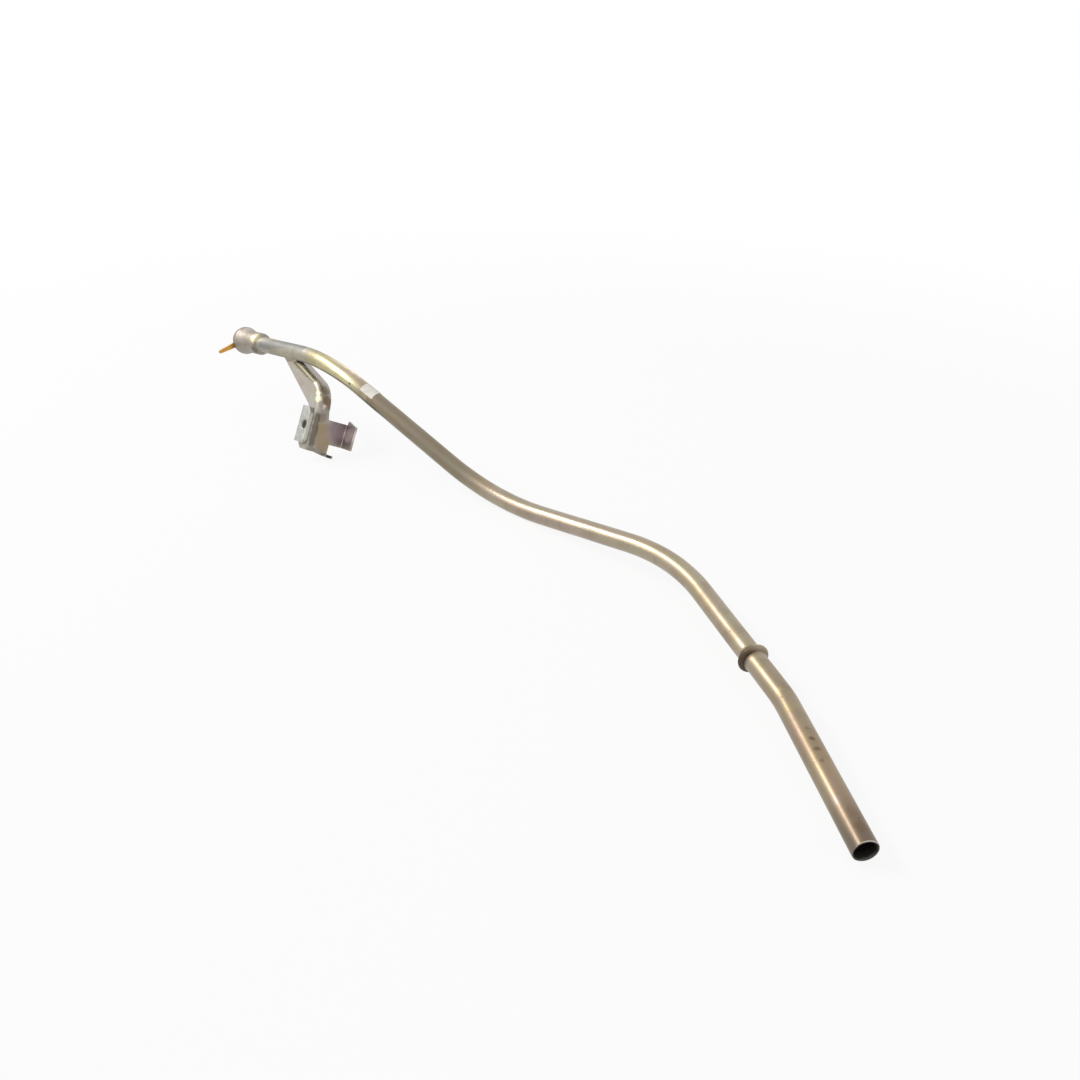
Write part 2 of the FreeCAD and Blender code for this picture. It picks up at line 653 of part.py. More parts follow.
def make_nut_plate():
    body = new_body("nut_plate")
    face = "SheetThickness / 2"
    left = "(WebFront - NutMargin - NutWidth)"
    right = "(WebFront - NutMargin)"
    top = f"({NUT_MIDDLE} + NutHeight / 2)"
    bottom = f"({NUT_MIDDLE} - NutHeight / 2)"
    block = outline(new_sketch(body, "nut_outline", "XZ_Plane", face), [
        (left, bottom),
        (right, bottom),
        (right, f"{top} - NutCut * 1.4"),
        (f"{right} - NutCut", top),
        (left, top),
    ])
    plate = pad(body, "nut_block", block, "NutThickness")
    doc.recompute()
    middle = -size("SheetThickness") / 2 - size("NutThickness") / 2
    corners = edges_where(plate, lambda p, e: near(p.y, middle))
    rounded(body, "nut_corners", plate, corners, "NutCorner")
    ear = outline(new_sketch(body, "ear_outline", "XZ_Plane", face), [
        (f"{left} - NutEar", f"{bottom} + NutCorner"),
        (f"{left} + NutCorner", f"{bottom} + NutCorner"),
        (f"{left} + NutCorner", f"{bottom} + NutCorner + NutEar"),
        (f"{left} - NutEar", f"{bottom} + NutCorner + NutEar"),
    ])
    pad(body, "nut_ear", ear, "NutEarThickness")
    hole = new_sketch(body, "thread_circle", "XZ_Plane")
    circle(hole, "WebFront - HoleFromWeb", NUT_MIDDLE, "ThreadBore")
    threaded = through_cut(body, "thread_bore", hole)
    doc.recompute()
    mouth = edges_where(
        threaded,
        lambda p, e: near(p.y, -size("SheetThickness") / 2 - size("NutThickness"))
        and isinstance(e.Curve, Part.Circle)
        and near(e.Curve.Radius, size("ThreadBore") / 2),
    )
    countersink = body.newObject("PartDesign::Chamfer", "thread_mouth")
    countersink.Base = (threaded, mouth)
    countersink.ChamferType = "Two distances"
    countersink.setExpression("Size", named("(ThreadMouth - ThreadBore) / 2"))
    countersink.setExpression("Size2", named("ThreadMouthDepth"))
    body.Tip = countersink
    body.Placement = lay.multiply(bracket_frame)
    return body


# Plastic plug: a flanged hollow stopper with a pull tab

def make_plug():
    body = new_body("plug")
    slope = "((CupBore - CupBottom) / 2 / CupDepth)"
    outside = "(CupBore / 2 - PlugClearance)"
    section = outline(new_sketch(body, "plug_section", "XZ_Plane"), [
        ("-PlugFlangeThickness", "PlugFlange / 2"),
        ("0", "PlugFlange / 2"),
        ("0", outside),
        ("PlugDepth", f"{outside} - PlugDepth * {slope}"),
        ("PlugDepth", "0"),
        ("PlugDepth - PlugFloor", "0"),
        ("PlugDepth - PlugFloor", f"{outside} - PlugWall - (PlugDepth - PlugFloor) * {slope}"),
        ("-PlugFlangeThickness", f"{outside} - PlugWall"),
    ])
    stopper = turned(body, "stopper", section)
    tab = outline(new_sketch(body, "pull_tab_outline", "YZ_Plane", "-PlugFlangeThickness"), [
        ("-TabRoot / 2", "PlugWall - PlugFlange / 2"),
        ("-TabTip / 2", "TabTip / 2 - TabLength"),
        ("TabTip / 2", "TabTip / 2 - TabLength", "TabTip * 0.55", 1),
        ("TabRoot / 2", "PlugWall - PlugFlange / 2"),
    ])
    lever = pad(body, "pull_tab", tab, "PlugFlangeThickness")
    doc.recompute()
    front = -size("PlugFlangeThickness")
    edges = edges_where(lever, lambda p, e: near(p.x, front) and outer(p))
    rounded(body, "plug_edge", lever, edges, "PlugRound")
    body.Placement = lay.multiply(plug_frame)
    return body


# Paper label, wrapped part of the way round the tube

def make_label():
    rings = []
    for name, radius in (
        ("label_outside", "TubeDiameter / 2 + LabelThickness"),
        ("label_inside", "TubeDiameter / 2"),
    ):
        ring = doc.addObject("Part::Cylinder", name)
        ring.setExpression("Radius", named(radius))
        ring.setExpression("Height", named("LabelLength"))
        ring.setExpression("Angle", named("LabelWrap"))
        ring.Placement = label_frame
        rings.append(ring)
    label = doc.addObject("Part::Cut", "label")
    label.Base, label.Tool = rings
    label.Placement = lay
    return label


built = [
    make_tube(),
    make_head_socket(),
    make_braze(),
    make_bracket(),
    make_welds(),
    make_nut_plate(),
    make_plug(),
    make_label(),
]
doc.recompute()

os.makedirs("parts", exist_ok=True)
for item in doc.Objects:
    if "Invalid" in item.State or "Error" in item.State:
        raise RuntimeError(f"{item.Label} did not compute: {item.State}")
for item in built:
    if item.Shape.isNull() or not item.Shape.isValid():
        raise RuntimeError(f"{item.Label} has no valid shape")
for item in built:
    item.Shape.exportStep(f"parts/{item.Label}.step")
    box = item.Shape.BoundBox
    spans = [round(span, 1) for span in (box.XLength, box.YLength, box.ZLength)]
    print(item.Label, round(item.Shape.Volume, 1), spans)
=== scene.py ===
# %% [markdown]
# # A used dipstick tube
#
# The object is a steel guide tube for an oil dipstick, bent in several planes. It has a rolled bead
# near its lower end, a flared filler socket brazed on its head, a pressed bracket with a nut plate, a
# small blank paper label and an orange plastic plug in the head.
#
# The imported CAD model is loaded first. It is the frame that every piece of this scene keeps to: each
# new mesh lies where its CAD solid lies, and its finish and its fine detail are added here. Only the
# bend under the head is a wider sweep here than in the solid.

import json
import math

import bmesh
import bpy
from mathutils import Matrix, Quaternion, Vector, noise

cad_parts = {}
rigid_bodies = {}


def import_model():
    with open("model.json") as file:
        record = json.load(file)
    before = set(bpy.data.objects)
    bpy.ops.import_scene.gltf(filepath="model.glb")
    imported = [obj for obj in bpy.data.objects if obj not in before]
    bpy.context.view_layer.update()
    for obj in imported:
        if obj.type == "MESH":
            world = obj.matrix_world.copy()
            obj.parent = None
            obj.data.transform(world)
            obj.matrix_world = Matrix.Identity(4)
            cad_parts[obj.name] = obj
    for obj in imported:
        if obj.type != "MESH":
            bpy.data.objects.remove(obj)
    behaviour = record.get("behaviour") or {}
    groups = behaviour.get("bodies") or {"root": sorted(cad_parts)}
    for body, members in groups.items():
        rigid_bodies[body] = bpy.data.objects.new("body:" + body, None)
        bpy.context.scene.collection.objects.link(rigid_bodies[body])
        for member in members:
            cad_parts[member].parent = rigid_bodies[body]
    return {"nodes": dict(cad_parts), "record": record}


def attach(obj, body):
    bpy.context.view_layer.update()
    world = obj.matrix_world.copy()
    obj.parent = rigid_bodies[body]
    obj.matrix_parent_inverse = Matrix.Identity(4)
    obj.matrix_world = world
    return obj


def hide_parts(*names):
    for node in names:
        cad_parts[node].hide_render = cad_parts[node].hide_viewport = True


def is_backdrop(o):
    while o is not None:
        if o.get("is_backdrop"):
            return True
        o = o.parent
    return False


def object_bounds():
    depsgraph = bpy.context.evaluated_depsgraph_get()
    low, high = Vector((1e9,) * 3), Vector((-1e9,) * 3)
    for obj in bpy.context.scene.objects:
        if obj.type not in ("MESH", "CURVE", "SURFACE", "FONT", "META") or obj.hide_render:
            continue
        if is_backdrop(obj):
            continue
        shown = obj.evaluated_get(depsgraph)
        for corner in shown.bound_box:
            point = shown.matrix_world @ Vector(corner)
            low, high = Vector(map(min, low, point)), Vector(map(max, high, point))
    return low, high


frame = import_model()
cad_low, cad_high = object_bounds()
nodes = frame["nodes"]
print("CAD nodes:", sorted(nodes), "box:", [round(v * 1000, 1) for v in cad_high - cad_low])

# %% [markdown]
# ## The camera
#
# The photograph was taken from a little above, beside the lower mouth, with a normal lens. The camera
# was found from the tube's own outline, so the lens and the place are plain numbers here.

# %% Camera
camera_data = bpy.data.cameras.new("camera")
camera_data.sensor_width = 36.0
camera_data.lens = 33.333
camera_data.clip_start = 0.01
camera = bpy.data.objects.new("camera", camera_data)
camera.location = (-0.125679, 0.238065, 0.253657)
camera.rotation_euler = (1.061133, -0.02226, -2.212161)
bpy.context.collection.objects.link(camera)
bpy.context.scene.camera = camera
print("camera", [round(v, 3) for v in camera.location])

# %% [markdown]
# ## The bend table
#
# A bent tube is described by its bend table: the length of each straight run, and the angle, the
# centreline radius and the turn of each bend's plane. Walking through the table gives the centreline,
# in millimetres, as a list of legs. A leg is straight or an arc, and each carries a direction along
# the tube and a reference direction across it, which never twists, so that a section swept along the
# legs has no twist either.
#
# The neck is the last bend. Its sweep is wider than the solid's, and the runs on both sides of it are
# shorter by the difference of the two tangent lengths, so both runs stay on the solid's lines.

# %% Walk the bend table
NECK_ANGLE, NECK_RADIUS, SOLID_NECK_RADIUS = 31.0, 110.0, 40.0
NECK_SHIFT = (NECK_RADIUS - SOLID_NECK_RADIUS) * math.tan(math.radians(NECK_ANGLE / 2))
RUNS = (73.0, 70.5, 58.5, 94.5 - NECK_SHIFT, 79.0 - NECK_SHIFT)
BENDS = ((10.0, 65.0, 0.0), (31.0, 105.0, -28.0), (29.0, 140.0, 98.0), (NECK_ANGLE, NECK_RADIUS, 173.0))
TUBE_RADIUS = 5.0
TUBE_WALL = 1.0


def turned(vector, axis, degrees):
    """The vector, turned about the axis."""
    return Quaternion(axis, math.radians(degrees)) @ vector


def walk(runs, bends):
    """The legs of the centreline, and the side that each bend curves to."""
    point, along, side, across = Vector(), Vector((1, 0, 0)), Vector((0, 0, 1)), Vector((0, 0, 1))
    legs, sides, length = [], [], 0.0
    for k, run in enumerate(runs):
        sides.append(side.copy())
        legs.append((length, run, point.copy(), along.copy(), across.copy(), None, 0.0))
        point = point + along * run
        length += run
        if k == len(bends):
            break
        angle, radius, plane_turn = bends[k]
        arc = math.radians(angle) * radius
        side = turned(side, along, plane_turn)
        axis = along.cross(side)
        legs.append((length, arc, point.copy(), along.copy(), across.copy(), axis, radius))
        centre = point + side * radius
        point = centre + turned(point - centre, axis, angle)
        along, side, across = (turned(v, axis, angle) for v in (along, side, across))
        length += arc
    return legs, sides, point, along, length


legs, bend_sides, tube_end, head_along, tube_length = walk(RUNS, BENDS)


def at(length):
    """Point, direction and reference direction at a length along the centreline."""
    leg = max((leg for leg in legs if leg[0] <= length + 1e-9), key=lambda leg: leg[0])
    start, _, point, along, across, axis, radius = leg
    way = length - start
    if axis is None:
        return point + along * way, along, across
    degrees = math.degrees(way / radius)
    centre = point + axis.cross(along) * radius
    place = centre + turned(point - centre, axis, degrees)
    return place, turned(along, axis, degrees), turned(across, axis, degrees)


print("centreline length", round(tube_length, 1), "mm, end", [round(v, 1) for v in tube_end])

# %% [markdown]
# ## Where the part lies
#
# The legs are in the tube's own frame, with the lower run along X. The CAD model lies at rest on a
# level surface instead. Two of the record's mounts, the bore at the lower mouth and the nut on the
# bracket, give two directions that are known in both frames, and two directions fix a rotation.

# %% Frames on the tube
SEAT_DEPTH = 12.0
BRACKET_FROM_RIM = 56.3
BRACKET_CLOCK = 45.0
TAB_CLOCK = 50.0


def frame_matrix(place, x_axis, z_axis):
    """A frame at place, with the given x and z axes."""
    y_axis = z_axis.cross(x_axis)
    matrix = Matrix((x_axis, y_axis, z_axis)).transposed().to_4x4()
    matrix.translation = place
    return matrix


rim_centre = tube_end + head_along * SEAT_DEPTH
upper, neck = legs[6], legs[7]
head_inside = turned(turned(bend_sides[3], neck[3], BENDS[3][2]), neck[5], BENDS[3][0])
bracket_down = turned(head_inside, head_along, BRACKET_CLOCK)
tab_down = turned(bracket_down, head_along, TAB_CLOCK)
head_frame = frame_matrix(rim_centre, -head_along, -bracket_down)
bracket_frame = frame_matrix(rim_centre - head_along * BRACKET_FROM_RIM, -head_along, -bracket_down)
plug_frame = frame_matrix(rim_centre, -head_along, -tab_down)

mounts = {mount["name"]: mount for mount in frame["record"]["mounts"]}


def two_axes(first, second):
    """A right-handed frame that starts from two directions."""
    third = first.cross(second).normalized()
    return Matrix((first, third.cross(first), third)).transposed()


own = two_axes(Vector((-1, 0, 0)), bracket_frame.col[1].to_3d())
row = two_axes(*(Vector(mounts[name]["axis"]).normalized() for name in ("dipstick_bore", "bracket_nut")))
lay = (row @ own.transposed()).to_4x4()
to_row = Matrix.Scale(0.001, 4) @ lay
print("rim centre in the row frame, mm:", [round(v * 1000, 2) for v in to_row @ rim_centre])

# %% [markdown]
# ## Floor and light
#
# The part lies on a white sweep. One long lamp stands far off to the left, in line with the tube's
# lower run, and the narrow bright line along the tube is its reflection. A second, much weaker lamp
# stands near the neck and lights that bend. The floor and the world are white to the camera and to
# reflections, by Light Path, and give the object only a plain level of light.

# %% Helpers for node trees
def new_material(name):
    """An empty material with its output node."""
    material = bpy.data.materials.new(name)
    material.use_nodes = True
    tree = material.node_tree
    tree.nodes.clear()
    output = tree.nodes.new("ShaderNodeOutputMaterial")
    return material, tree, output


def add(tree, kind, inputs=None, **settings):
    """One node, with its settings and its inputs given by name or number."""
    node = tree.nodes.new(kind)
    for key, value in settings.items():
        setattr(node, key, value)
    for key, value in (inputs or {}).items():
        socket = node.inputs[key]
        if isinstance(value, bpy.types.NodeSocket):
            tree.links.new(value, socket)
        else:
            socket.default_value = value
    return node


def maths(tree, operation, *values):
    """A Math node's result."""
    return add(tree, "ShaderNodeMath", dict(enumerate(values)), operation=operation).outputs[0]


def vectors(tree, operation, *values):
    """A Vector Math node's result, a plain value for a distance or a dot product."""
    node = add(tree, "ShaderNodeVectorMath", dict(enumerate(values)), operation=operation)
    return node.outputs["Value" if operation in ("DISTANCE", "DOT_PRODUCT") else "Vector"]


def object_place(tree):
    """A point's place in the row frame, in metres."""
    return add(tree, "ShaderNodeTexCoord").outputs["Object"]


def between(tree, value, low, high, to_low=0.0, to_high=1.0):
    """The value's way from low to high, smoothed, as a mask."""
    inputs = {"Value": value, "From Min": low, "From Max": high, "To Min": to_low, "To Max": to_high}
    return add(tree, "ShaderNodeMapRange", inputs, interpolation_type="SMOOTHSTEP").outputs["Result"]


def blended(tree, mask, first, second, blend="MIX"):
    """Two colours mixed by a mask."""
    node = tree.nodes.new("ShaderNodeMix")
    node.data_type = "RGBA"
    node.blend_type = blend
    for index, value in ((0, mask), (6, first), (7, second)):
        if isinstance(value, bpy.types.NodeSocket):
            tree.links.new(value, node.inputs[index])
        else:
            node.inputs[index].default_value = value
    return node.outputs[2]


def colour(red, green, blue):
    """A colour as it shows on a screen, from 0 to 255, as the linear values that a shader takes."""
    shown = (value / 255 for value in (red, green, blue))
    return (*(v / 12.92 if v < 0.04045 else ((v + 0.055) / 1.055) ** 2.4 for v in shown), 1.0)


print("helpers ready")

# %% Floor
FLOOR_REACH, FLOOR_GAP = 30.0, 0.0002
floor_height = cad_low.z - FLOOR_GAP
floor_mesh = bpy.data.meshes.new("floor")
floor_signs = ((-1, -1), (1, -1), (1, 1), (-1, 1))
floor_corners = [(x * FLOOR_REACH, y * FLOOR_REACH, floor_height) for x, y in floor_signs]
floor_mesh.from_pydata(floor_corners, [], [(0, 1, 2, 3)])
floor = bpy.data.objects.new("floor", floor_mesh)
bpy.context.collection.objects.link(floor)
floor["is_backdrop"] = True


def seen_rays(tree):
    """1 for what the camera, a reflection or a clear body sees, and 0 for light on the object."""
    path = add(tree, "ShaderNodeLightPath")
    seen = maths(tree, "MAXIMUM", path.outputs["Is Camera Ray"], path.outputs["Is Glossy Ray"])
    return maths(tree, "MAXIMUM", seen, path.outputs["Is Transmission Ray"])


WHITE = (1.0, 1.0, 1.0, 1.0)
middle = (cad_low + cad_high) / 2
material, tree, output = new_material("white_sweep")
diffuse = add(tree, "ShaderNodeBsdfDiffuse", {"Color": (0.86, 0.86, 0.86, 1.0)})
glow = add(tree, "ShaderNodeEmission", {"Color": WHITE, "Strength": 1.0})
from_middle = vectors(tree, "DISTANCE", object_place(tree), middle)
share = maths(tree, "MULTIPLY", seen_rays(tree), between(tree, from_middle, 0.3, 0.9, 0.9, 1.0))
mix = add(tree, "ShaderNodeMixShader", {0: share, 1: diffuse.outputs[0], 2: glow.outputs[0]})
tree.links.new(mix.outputs[0], output.inputs["Surface"])
floor.data.materials.append(material)
print("floor at", round(floor_height * 1000, 2), "mm")

# %% Lamps and world
def area_lamp(name, target, direction, distance, size, long_way, power, lamp_colour):
    """A soft rectangular lamp, seen from its target in a direction, its long side the long way."""
    data = bpy.data.lights.new(name, "AREA")
    data.shape = "RECTANGLE"
    data.size, data.size_y = size
    data.energy = power
    data.color = lamp_colour
    lamp = bpy.data.objects.new(name, data)
    back = Vector(direction).normalized()
    sideways = (Vector(long_way) - back * back.dot(Vector(long_way))).normalized()
    turn = Matrix((sideways, back.cross(sideways), back)).transposed().to_4x4()
    turn.translation = target + back * distance
    lamp.matrix_world = turn
    bpy.context.collection.objects.link(lamp)
    return lamp


lower_way = to_row.to_3x3() @ Vector((1, 0, 0))
neck_place, upwards = to_row @ neck[2], Vector((0, 0, 1))
area_lamp("key", middle, (0.63, 0.42, 0.655), 2.2, (1.2, 0.3), lower_way, 25.0, (1.0, 0.96, 0.9))
area_lamp("neck", neck_place, (0.36, 0.80, 0.48), 0.6, (0.2, 0.11), upwards, 0.3, (1.0, 0.97, 0.88))

world = bpy.data.worlds.new("studio")
world.use_nodes = True
bpy.context.scene.world = world
tree = world.node_tree
tree.nodes.clear()
output = tree.nodes.new("ShaderNodeOutputWorld")
seen = add(tree, "ShaderNodeBackground", {"Color": WHITE, "Strength": 1.0})
around = add(tree, "ShaderNodeBackground", {"Color": (0.95, 0.97, 1.0, 1.0), "Strength": 0.5})
mix = add(tree, "ShaderNodeMixShader", {0: seen_rays(tree), 1: around.outputs[0], 2: seen.outputs[0]})
tree.links.new(mix.outputs[0], output.inputs["Surface"])
bpy.context.scene.view_settings.view_transform = "Standard"

# %% [markdown]
# ## Shader groups
#
# Every steel piece here has the same finish: zinc with a yellow passivation, which runs from grey
# through gold and green to mauve as its film gets thicker. So the film's colour is one group, and each
# material gives it its own colours and shares. A second group makes the fine marks.

# %% Group: passivation film
def new_group(name, inputs, outputs):
    """An empty shader group with named sockets, given as name: kind."""
    group = bpy.data.node_groups.new(name, "ShaderNodeTree")
    for names, way in ((inputs, "INPUT"), (outputs, "OUTPUT")):
        for socket, kind in names.items():
            group.interface.new_socket(socket, in_out=way, socket_type="NodeSocket" + kind)
    return group, group.nodes.new("NodeGroupInput").outputs, group.nodes.new("NodeGroupOutput")


def cloud(tree, vector, scale, detail=3.0, roughness=0.55, distortion=0.0):
    """Cloudy noise as a value."""
    return add(tree, "ShaderNodeTexNoise", {
        "Vector": vector, "Scale": scale, "Detail": detail, "Roughness": roughness, "Distortion": distortion,
    }).outputs["Fac"]


def shifted(tree, vector, offset):
    """The coordinates moved by an offset, so that two clouds differ."""
    return vectors(tree, "ADD", vector, offset)


film, given, result = new_group(
    "passivation_film",
    {"Vector": "Vector", "Grey": "Color", "Gold": "Color", "Green": "Color", "Mauve": "Color",
     "Patch Scale": "Float", "Gold Share": "Float", "Green Share": "Float", "Mauve Share": "Float"},
    {"Color": "Color", "Patch": "Float"},
)
patch = cloud(film, given["Vector"], given["Patch Scale"], 4.0, 0.6, 0.4)
gold = maths(film, "MULTIPLY", between(film, patch, 0.36, 0.62), given["Gold Share"])
tint = blended(film, gold, given["Grey"], given["Gold"])
for name, offset in (("Green", (3.1, 1.7, 0.4)), ("Mauve", (7.3, 2.9, 5.2))):
    area = cloud(film, shifted(film, given["Vector"], offset), given["Patch Scale"], 3.0, 0.5, 0.8)
    mask = maths(film, "MULTIPLY", between(film, area, 0.46, 0.66), given[name + " Share"])
    tint = blended(film, mask, tint, given[name])
film.links.new(tint, result.inputs["Color"])
film.links.new(patch, result.inputs["Patch"])
print("group", film.name, "with", len(film.nodes), "nodes")

# %% Group: fine marks
marks, given, result = new_group(
    "fine_marks",
    {"Vector": "Vector", "Grain Scale": "Float", "Line Stretch": "Vector"},
    {"Height": "Float", "Specks": "Float", "Smudge": "Float"},
)
grain = cloud(marks, given["Vector"], given["Grain Scale"], 2.0, 0.6)
stretched = vectors(marks, "MULTIPLY", given["Vector"], given["Line Stretch"])
lines = cloud(marks, stretched, given["Grain Scale"], 3.0, 0.65)
height = maths(marks, "ADD", maths(marks, "MULTIPLY", grain, 0.5), maths(marks, "MULTIPLY", lines, 0.5))
marks.links.new(height, result.inputs["Height"])
dot_scale = maths(marks, "MULTIPLY", given["Grain Scale"], 0.16)
dots = add(marks, "ShaderNodeTexVoronoi", {"Vector": given["Vector"], "Scale": dot_scale, "Randomness": 1.0})
spot = between(marks, dots.outputs["Distance"], 0.05, 0.16, 1.0, 0.0)
chance = add(marks, "ShaderNodeSeparateColor", {0: dots.outputs["Color"]}).outputs[0]
rare = between(marks, chance, 0.86, 0.9)
marks.links.new(maths(marks, "MULTIPLY", spot, rare), result.inputs["Specks"])
smudge = cloud(marks, given["Vector"], maths(marks, "MULTIPLY", given["Grain Scale"], 0.045), 5.0, 0.7)
marks.links.new(smudge, result.inputs["Smudge"])
print("group", marks.name, "with", len(marks.nodes), "nodes")

# %% [markdown]
# ## The plated steel materials
#
# A material of this family takes the film's colour, darkens it with specks and smudges, and adds a thin
# coat, which is the passivation's own gloss. The tube's coordinates are an attribute of its mesh: they
# are straightened, so that draw marks run along it through every bend. Its tone changes along its
# length, from brown at the mouth to grey at the head, and its paler tone at the neck is painted light.
#
# The real film also has patches of its own, such as the mauve and gold at the neck. They are set one by
# one, each at its place on the part in millimetres, with a soft edge that noise makes uneven.

# %% Plated steel
MOUTH_TONE, LOWER_TONE, MIDDLE_TONE = (116, 106, 93), (154, 141, 120), (167, 158, 141)
# the neck's paler tone is painted light, for the brighter light on that bend
UPPER_TONE, NECK_PAINTED_LIGHT_TONE, HEAD_TONE = (136, 129, 112), (186, 181, 150), (170, 170, 165)
TUBE_TONES = (
    (0, MOUTH_TONE), (30, LOWER_TONE), (80, LOWER_TONE), (120, MIDDLE_TONE), (300, MIDDLE_TONE),
    (335, UPPER_TONE), (400, UPPER_TONE), (428, NECK_PAINTED_LIGHT_TONE), (450, NECK_PAINTED_LIGHT_TONE), (470, HEAD_TONE),
    (534, HEAD_TONE),
)
FILM_TINTS = {
    "Gold": (1.02, 0.92, 0.74, 1.0), "Green": (0.95, 1.0, 0.85, 1.0), "Mauve": (1.0, 0.88, 0.93, 1.0),
}


def toned(tree, place, tones):
    """The film's four colours, from tones given at lengths in mm along the straightened tube."""
    length = add(tree, "ShaderNodeSeparateXYZ", {0: place}).outputs["Z"]
    node = add(tree, "ShaderNodeValToRGB", {"Fac": maths(tree, "DIVIDE", length, tones[-1][0] / 1000)})
    node.color_ramp.interpolation = "EASE"
    stops = node.color_ramp.elements
    while len(stops) < len(tones):
        stops.new(1.0)
    for stop, (way, tone) in zip(stops, tones):
        stop.position = way / tones[-1][0]
        stop.color = colour(*tone)
    grey = node.outputs["Color"]
    tinted = {name: blended(tree, 1.0, grey, tint, "MULTIPLY") for name, tint in FILM_TINTS.items()}
    return {"Grey": grey, **tinted}


WAVE_SCALE, WAVE_REACH, SOLID_SHARE = 420.0, 0.003, 0.45


def patched(tree, base, patches):
    """The base with soft patches: centre, radius in mm, colour, share and, for a streak, its end."""
    place = object_place(tree)
    waves = add(tree, "ShaderNodeTexNoise", {"Vector": place, "Scale": WAVE_SCALE, "Detail": 3.0})
    offset = vectors(tree, "SUBTRACT", waves.outputs["Color"], (0.5, 0.5, 0.5))
    moved = vectors(tree, "MULTIPLY_ADD", offset, (WAVE_REACH, WAVE_REACH, WAVE_REACH), place)
    for centre, radius, tone, share, *end in patches:
        nearest = start = Vector(centre) / 1000
        if end:
            run = Vector(end[0]) / 1000 - start
            beyond = vectors(tree, "SUBTRACT", moved, start)
            way = vectors(tree, "DOT_PRODUCT", beyond, run / run.length_squared)
            way = add(tree, "ShaderNodeClamp", {"Value": way}).outputs[0]
            nearest = vectors(tree, "MULTIPLY_ADD", way, run, start)
        away = vectors(tree, "DISTANCE", moved, nearest)
        mask = between(tree, away, radius * SOLID_SHARE / 1000, radius / 1000, share, 0.0)
        base = blended(tree, mask, base, colour(*tone))
    return base


GRAIN_SCALE, SPECK_SHARE, DIRT_ROUGHNESS, DULL_ROUGHNESS = 1600.0, 0.6, 0.22, 0.28


def noted(tree, name):
    """A value that the mesh carries at each corner."""
    return add(tree, "ShaderNodeAttribute", attribute_name=name).outputs["Fac"]


def plated_steel(name, film_inputs, roughness, straight=False, stretch=(1.0, 1.0, 0.03), stain_and_shade=None,
                 tones=None, patches=(), painted_sheen=None, metallic=1.0, coat=0.25, dull=False,
                 film_stretch=(1.0, 1.0, 1.0)):
    """A satin plated steel, with film colours and marks, and what its mesh notes of stain and painted shade,
    of painted sheen and of dullness.
    """
    material, tree, output = new_material(name)
    if straight:
        place = add(tree, "ShaderNodeAttribute", attribute_name="straight").outputs["Vector"]
    else:
        place = object_place(tree)
    if tones:
        film_inputs = {**film_inputs, **toned(tree, place, tones)}
    streaks = vectors(tree, "MULTIPLY", place, film_stretch)
    film_node = add(tree, "ShaderNodeGroup", {"Vector": streaks, **film_inputs}, node_tree=film)
    marks_node = add(tree, "ShaderNodeGroup", {
        "Vector": place, "Grain Scale": GRAIN_SCALE, "Line Stretch": stretch,
    }, node_tree=marks)
    smudge = between(tree, marks_node.outputs["Smudge"], 0.38, 0.7, 0.0, 0.35)
    base = blended(tree, smudge, film_node.outputs["Color"], colour(120, 104, 84))
    specks = maths(tree, "MULTIPLY", marks_node.outputs["Specks"], SPECK_SHARE)
    base = blended(tree, specks, base, colour(70, 58, 46))
    rough = between(tree, marks_node.outputs["Smudge"], 0.3, 0.7, *roughness)
    if painted_sheen:
        # painted highlight: this note paints highlights and reflections in a pale colour
        base = blended(tree, noted(tree, "painted_sheen"), base, painted_sheen)
    if patches:
        base = patched(tree, base, patches)
    if stain_and_shade:
        # this note holds dirt and painted shade: shade under the bead and on the socket's rim edge
        dirt = noted(tree, "stain_and_shade")
        base = blended(tree, dirt, base, stain_and_shade)
        rough = maths(tree, "MULTIPLY_ADD", dirt, DIRT_ROUGHNESS, rough)
    shader = add(tree, "ShaderNodeBsdfPrincipled", {
        "Metallic": metallic, "Coat Weight": coat, "Coat Roughness": 0.2, "Coat IOR": 1.5,
    })
    if dull:
        amount = noted(tree, "dull")
        rough = maths(tree, "MULTIPLY_ADD", amount, DULL_ROUGHNESS, rough)
        tree.links.new(between(tree, amount, 0.0, 1.0, coat, 0.0), shader.inputs["Coat Weight"])
    relief = add(tree, "ShaderNodeBump", {
        "Height": marks_node.outputs["Height"], "Strength": 0.1, "Distance": 0.0002,
    })
    tree.links.new(base, shader.inputs["Base Color"])
    tree.links.new(rough, shader.inputs["Roughness"])
    tree.links.new(relief.outputs["Normal"], shader.inputs["Normal"])
    tree.links.new(shader.outputs[0], output.inputs["Surface"])
    return material


print("tones at", [way for way, _ in TUBE_TONES], "mm")

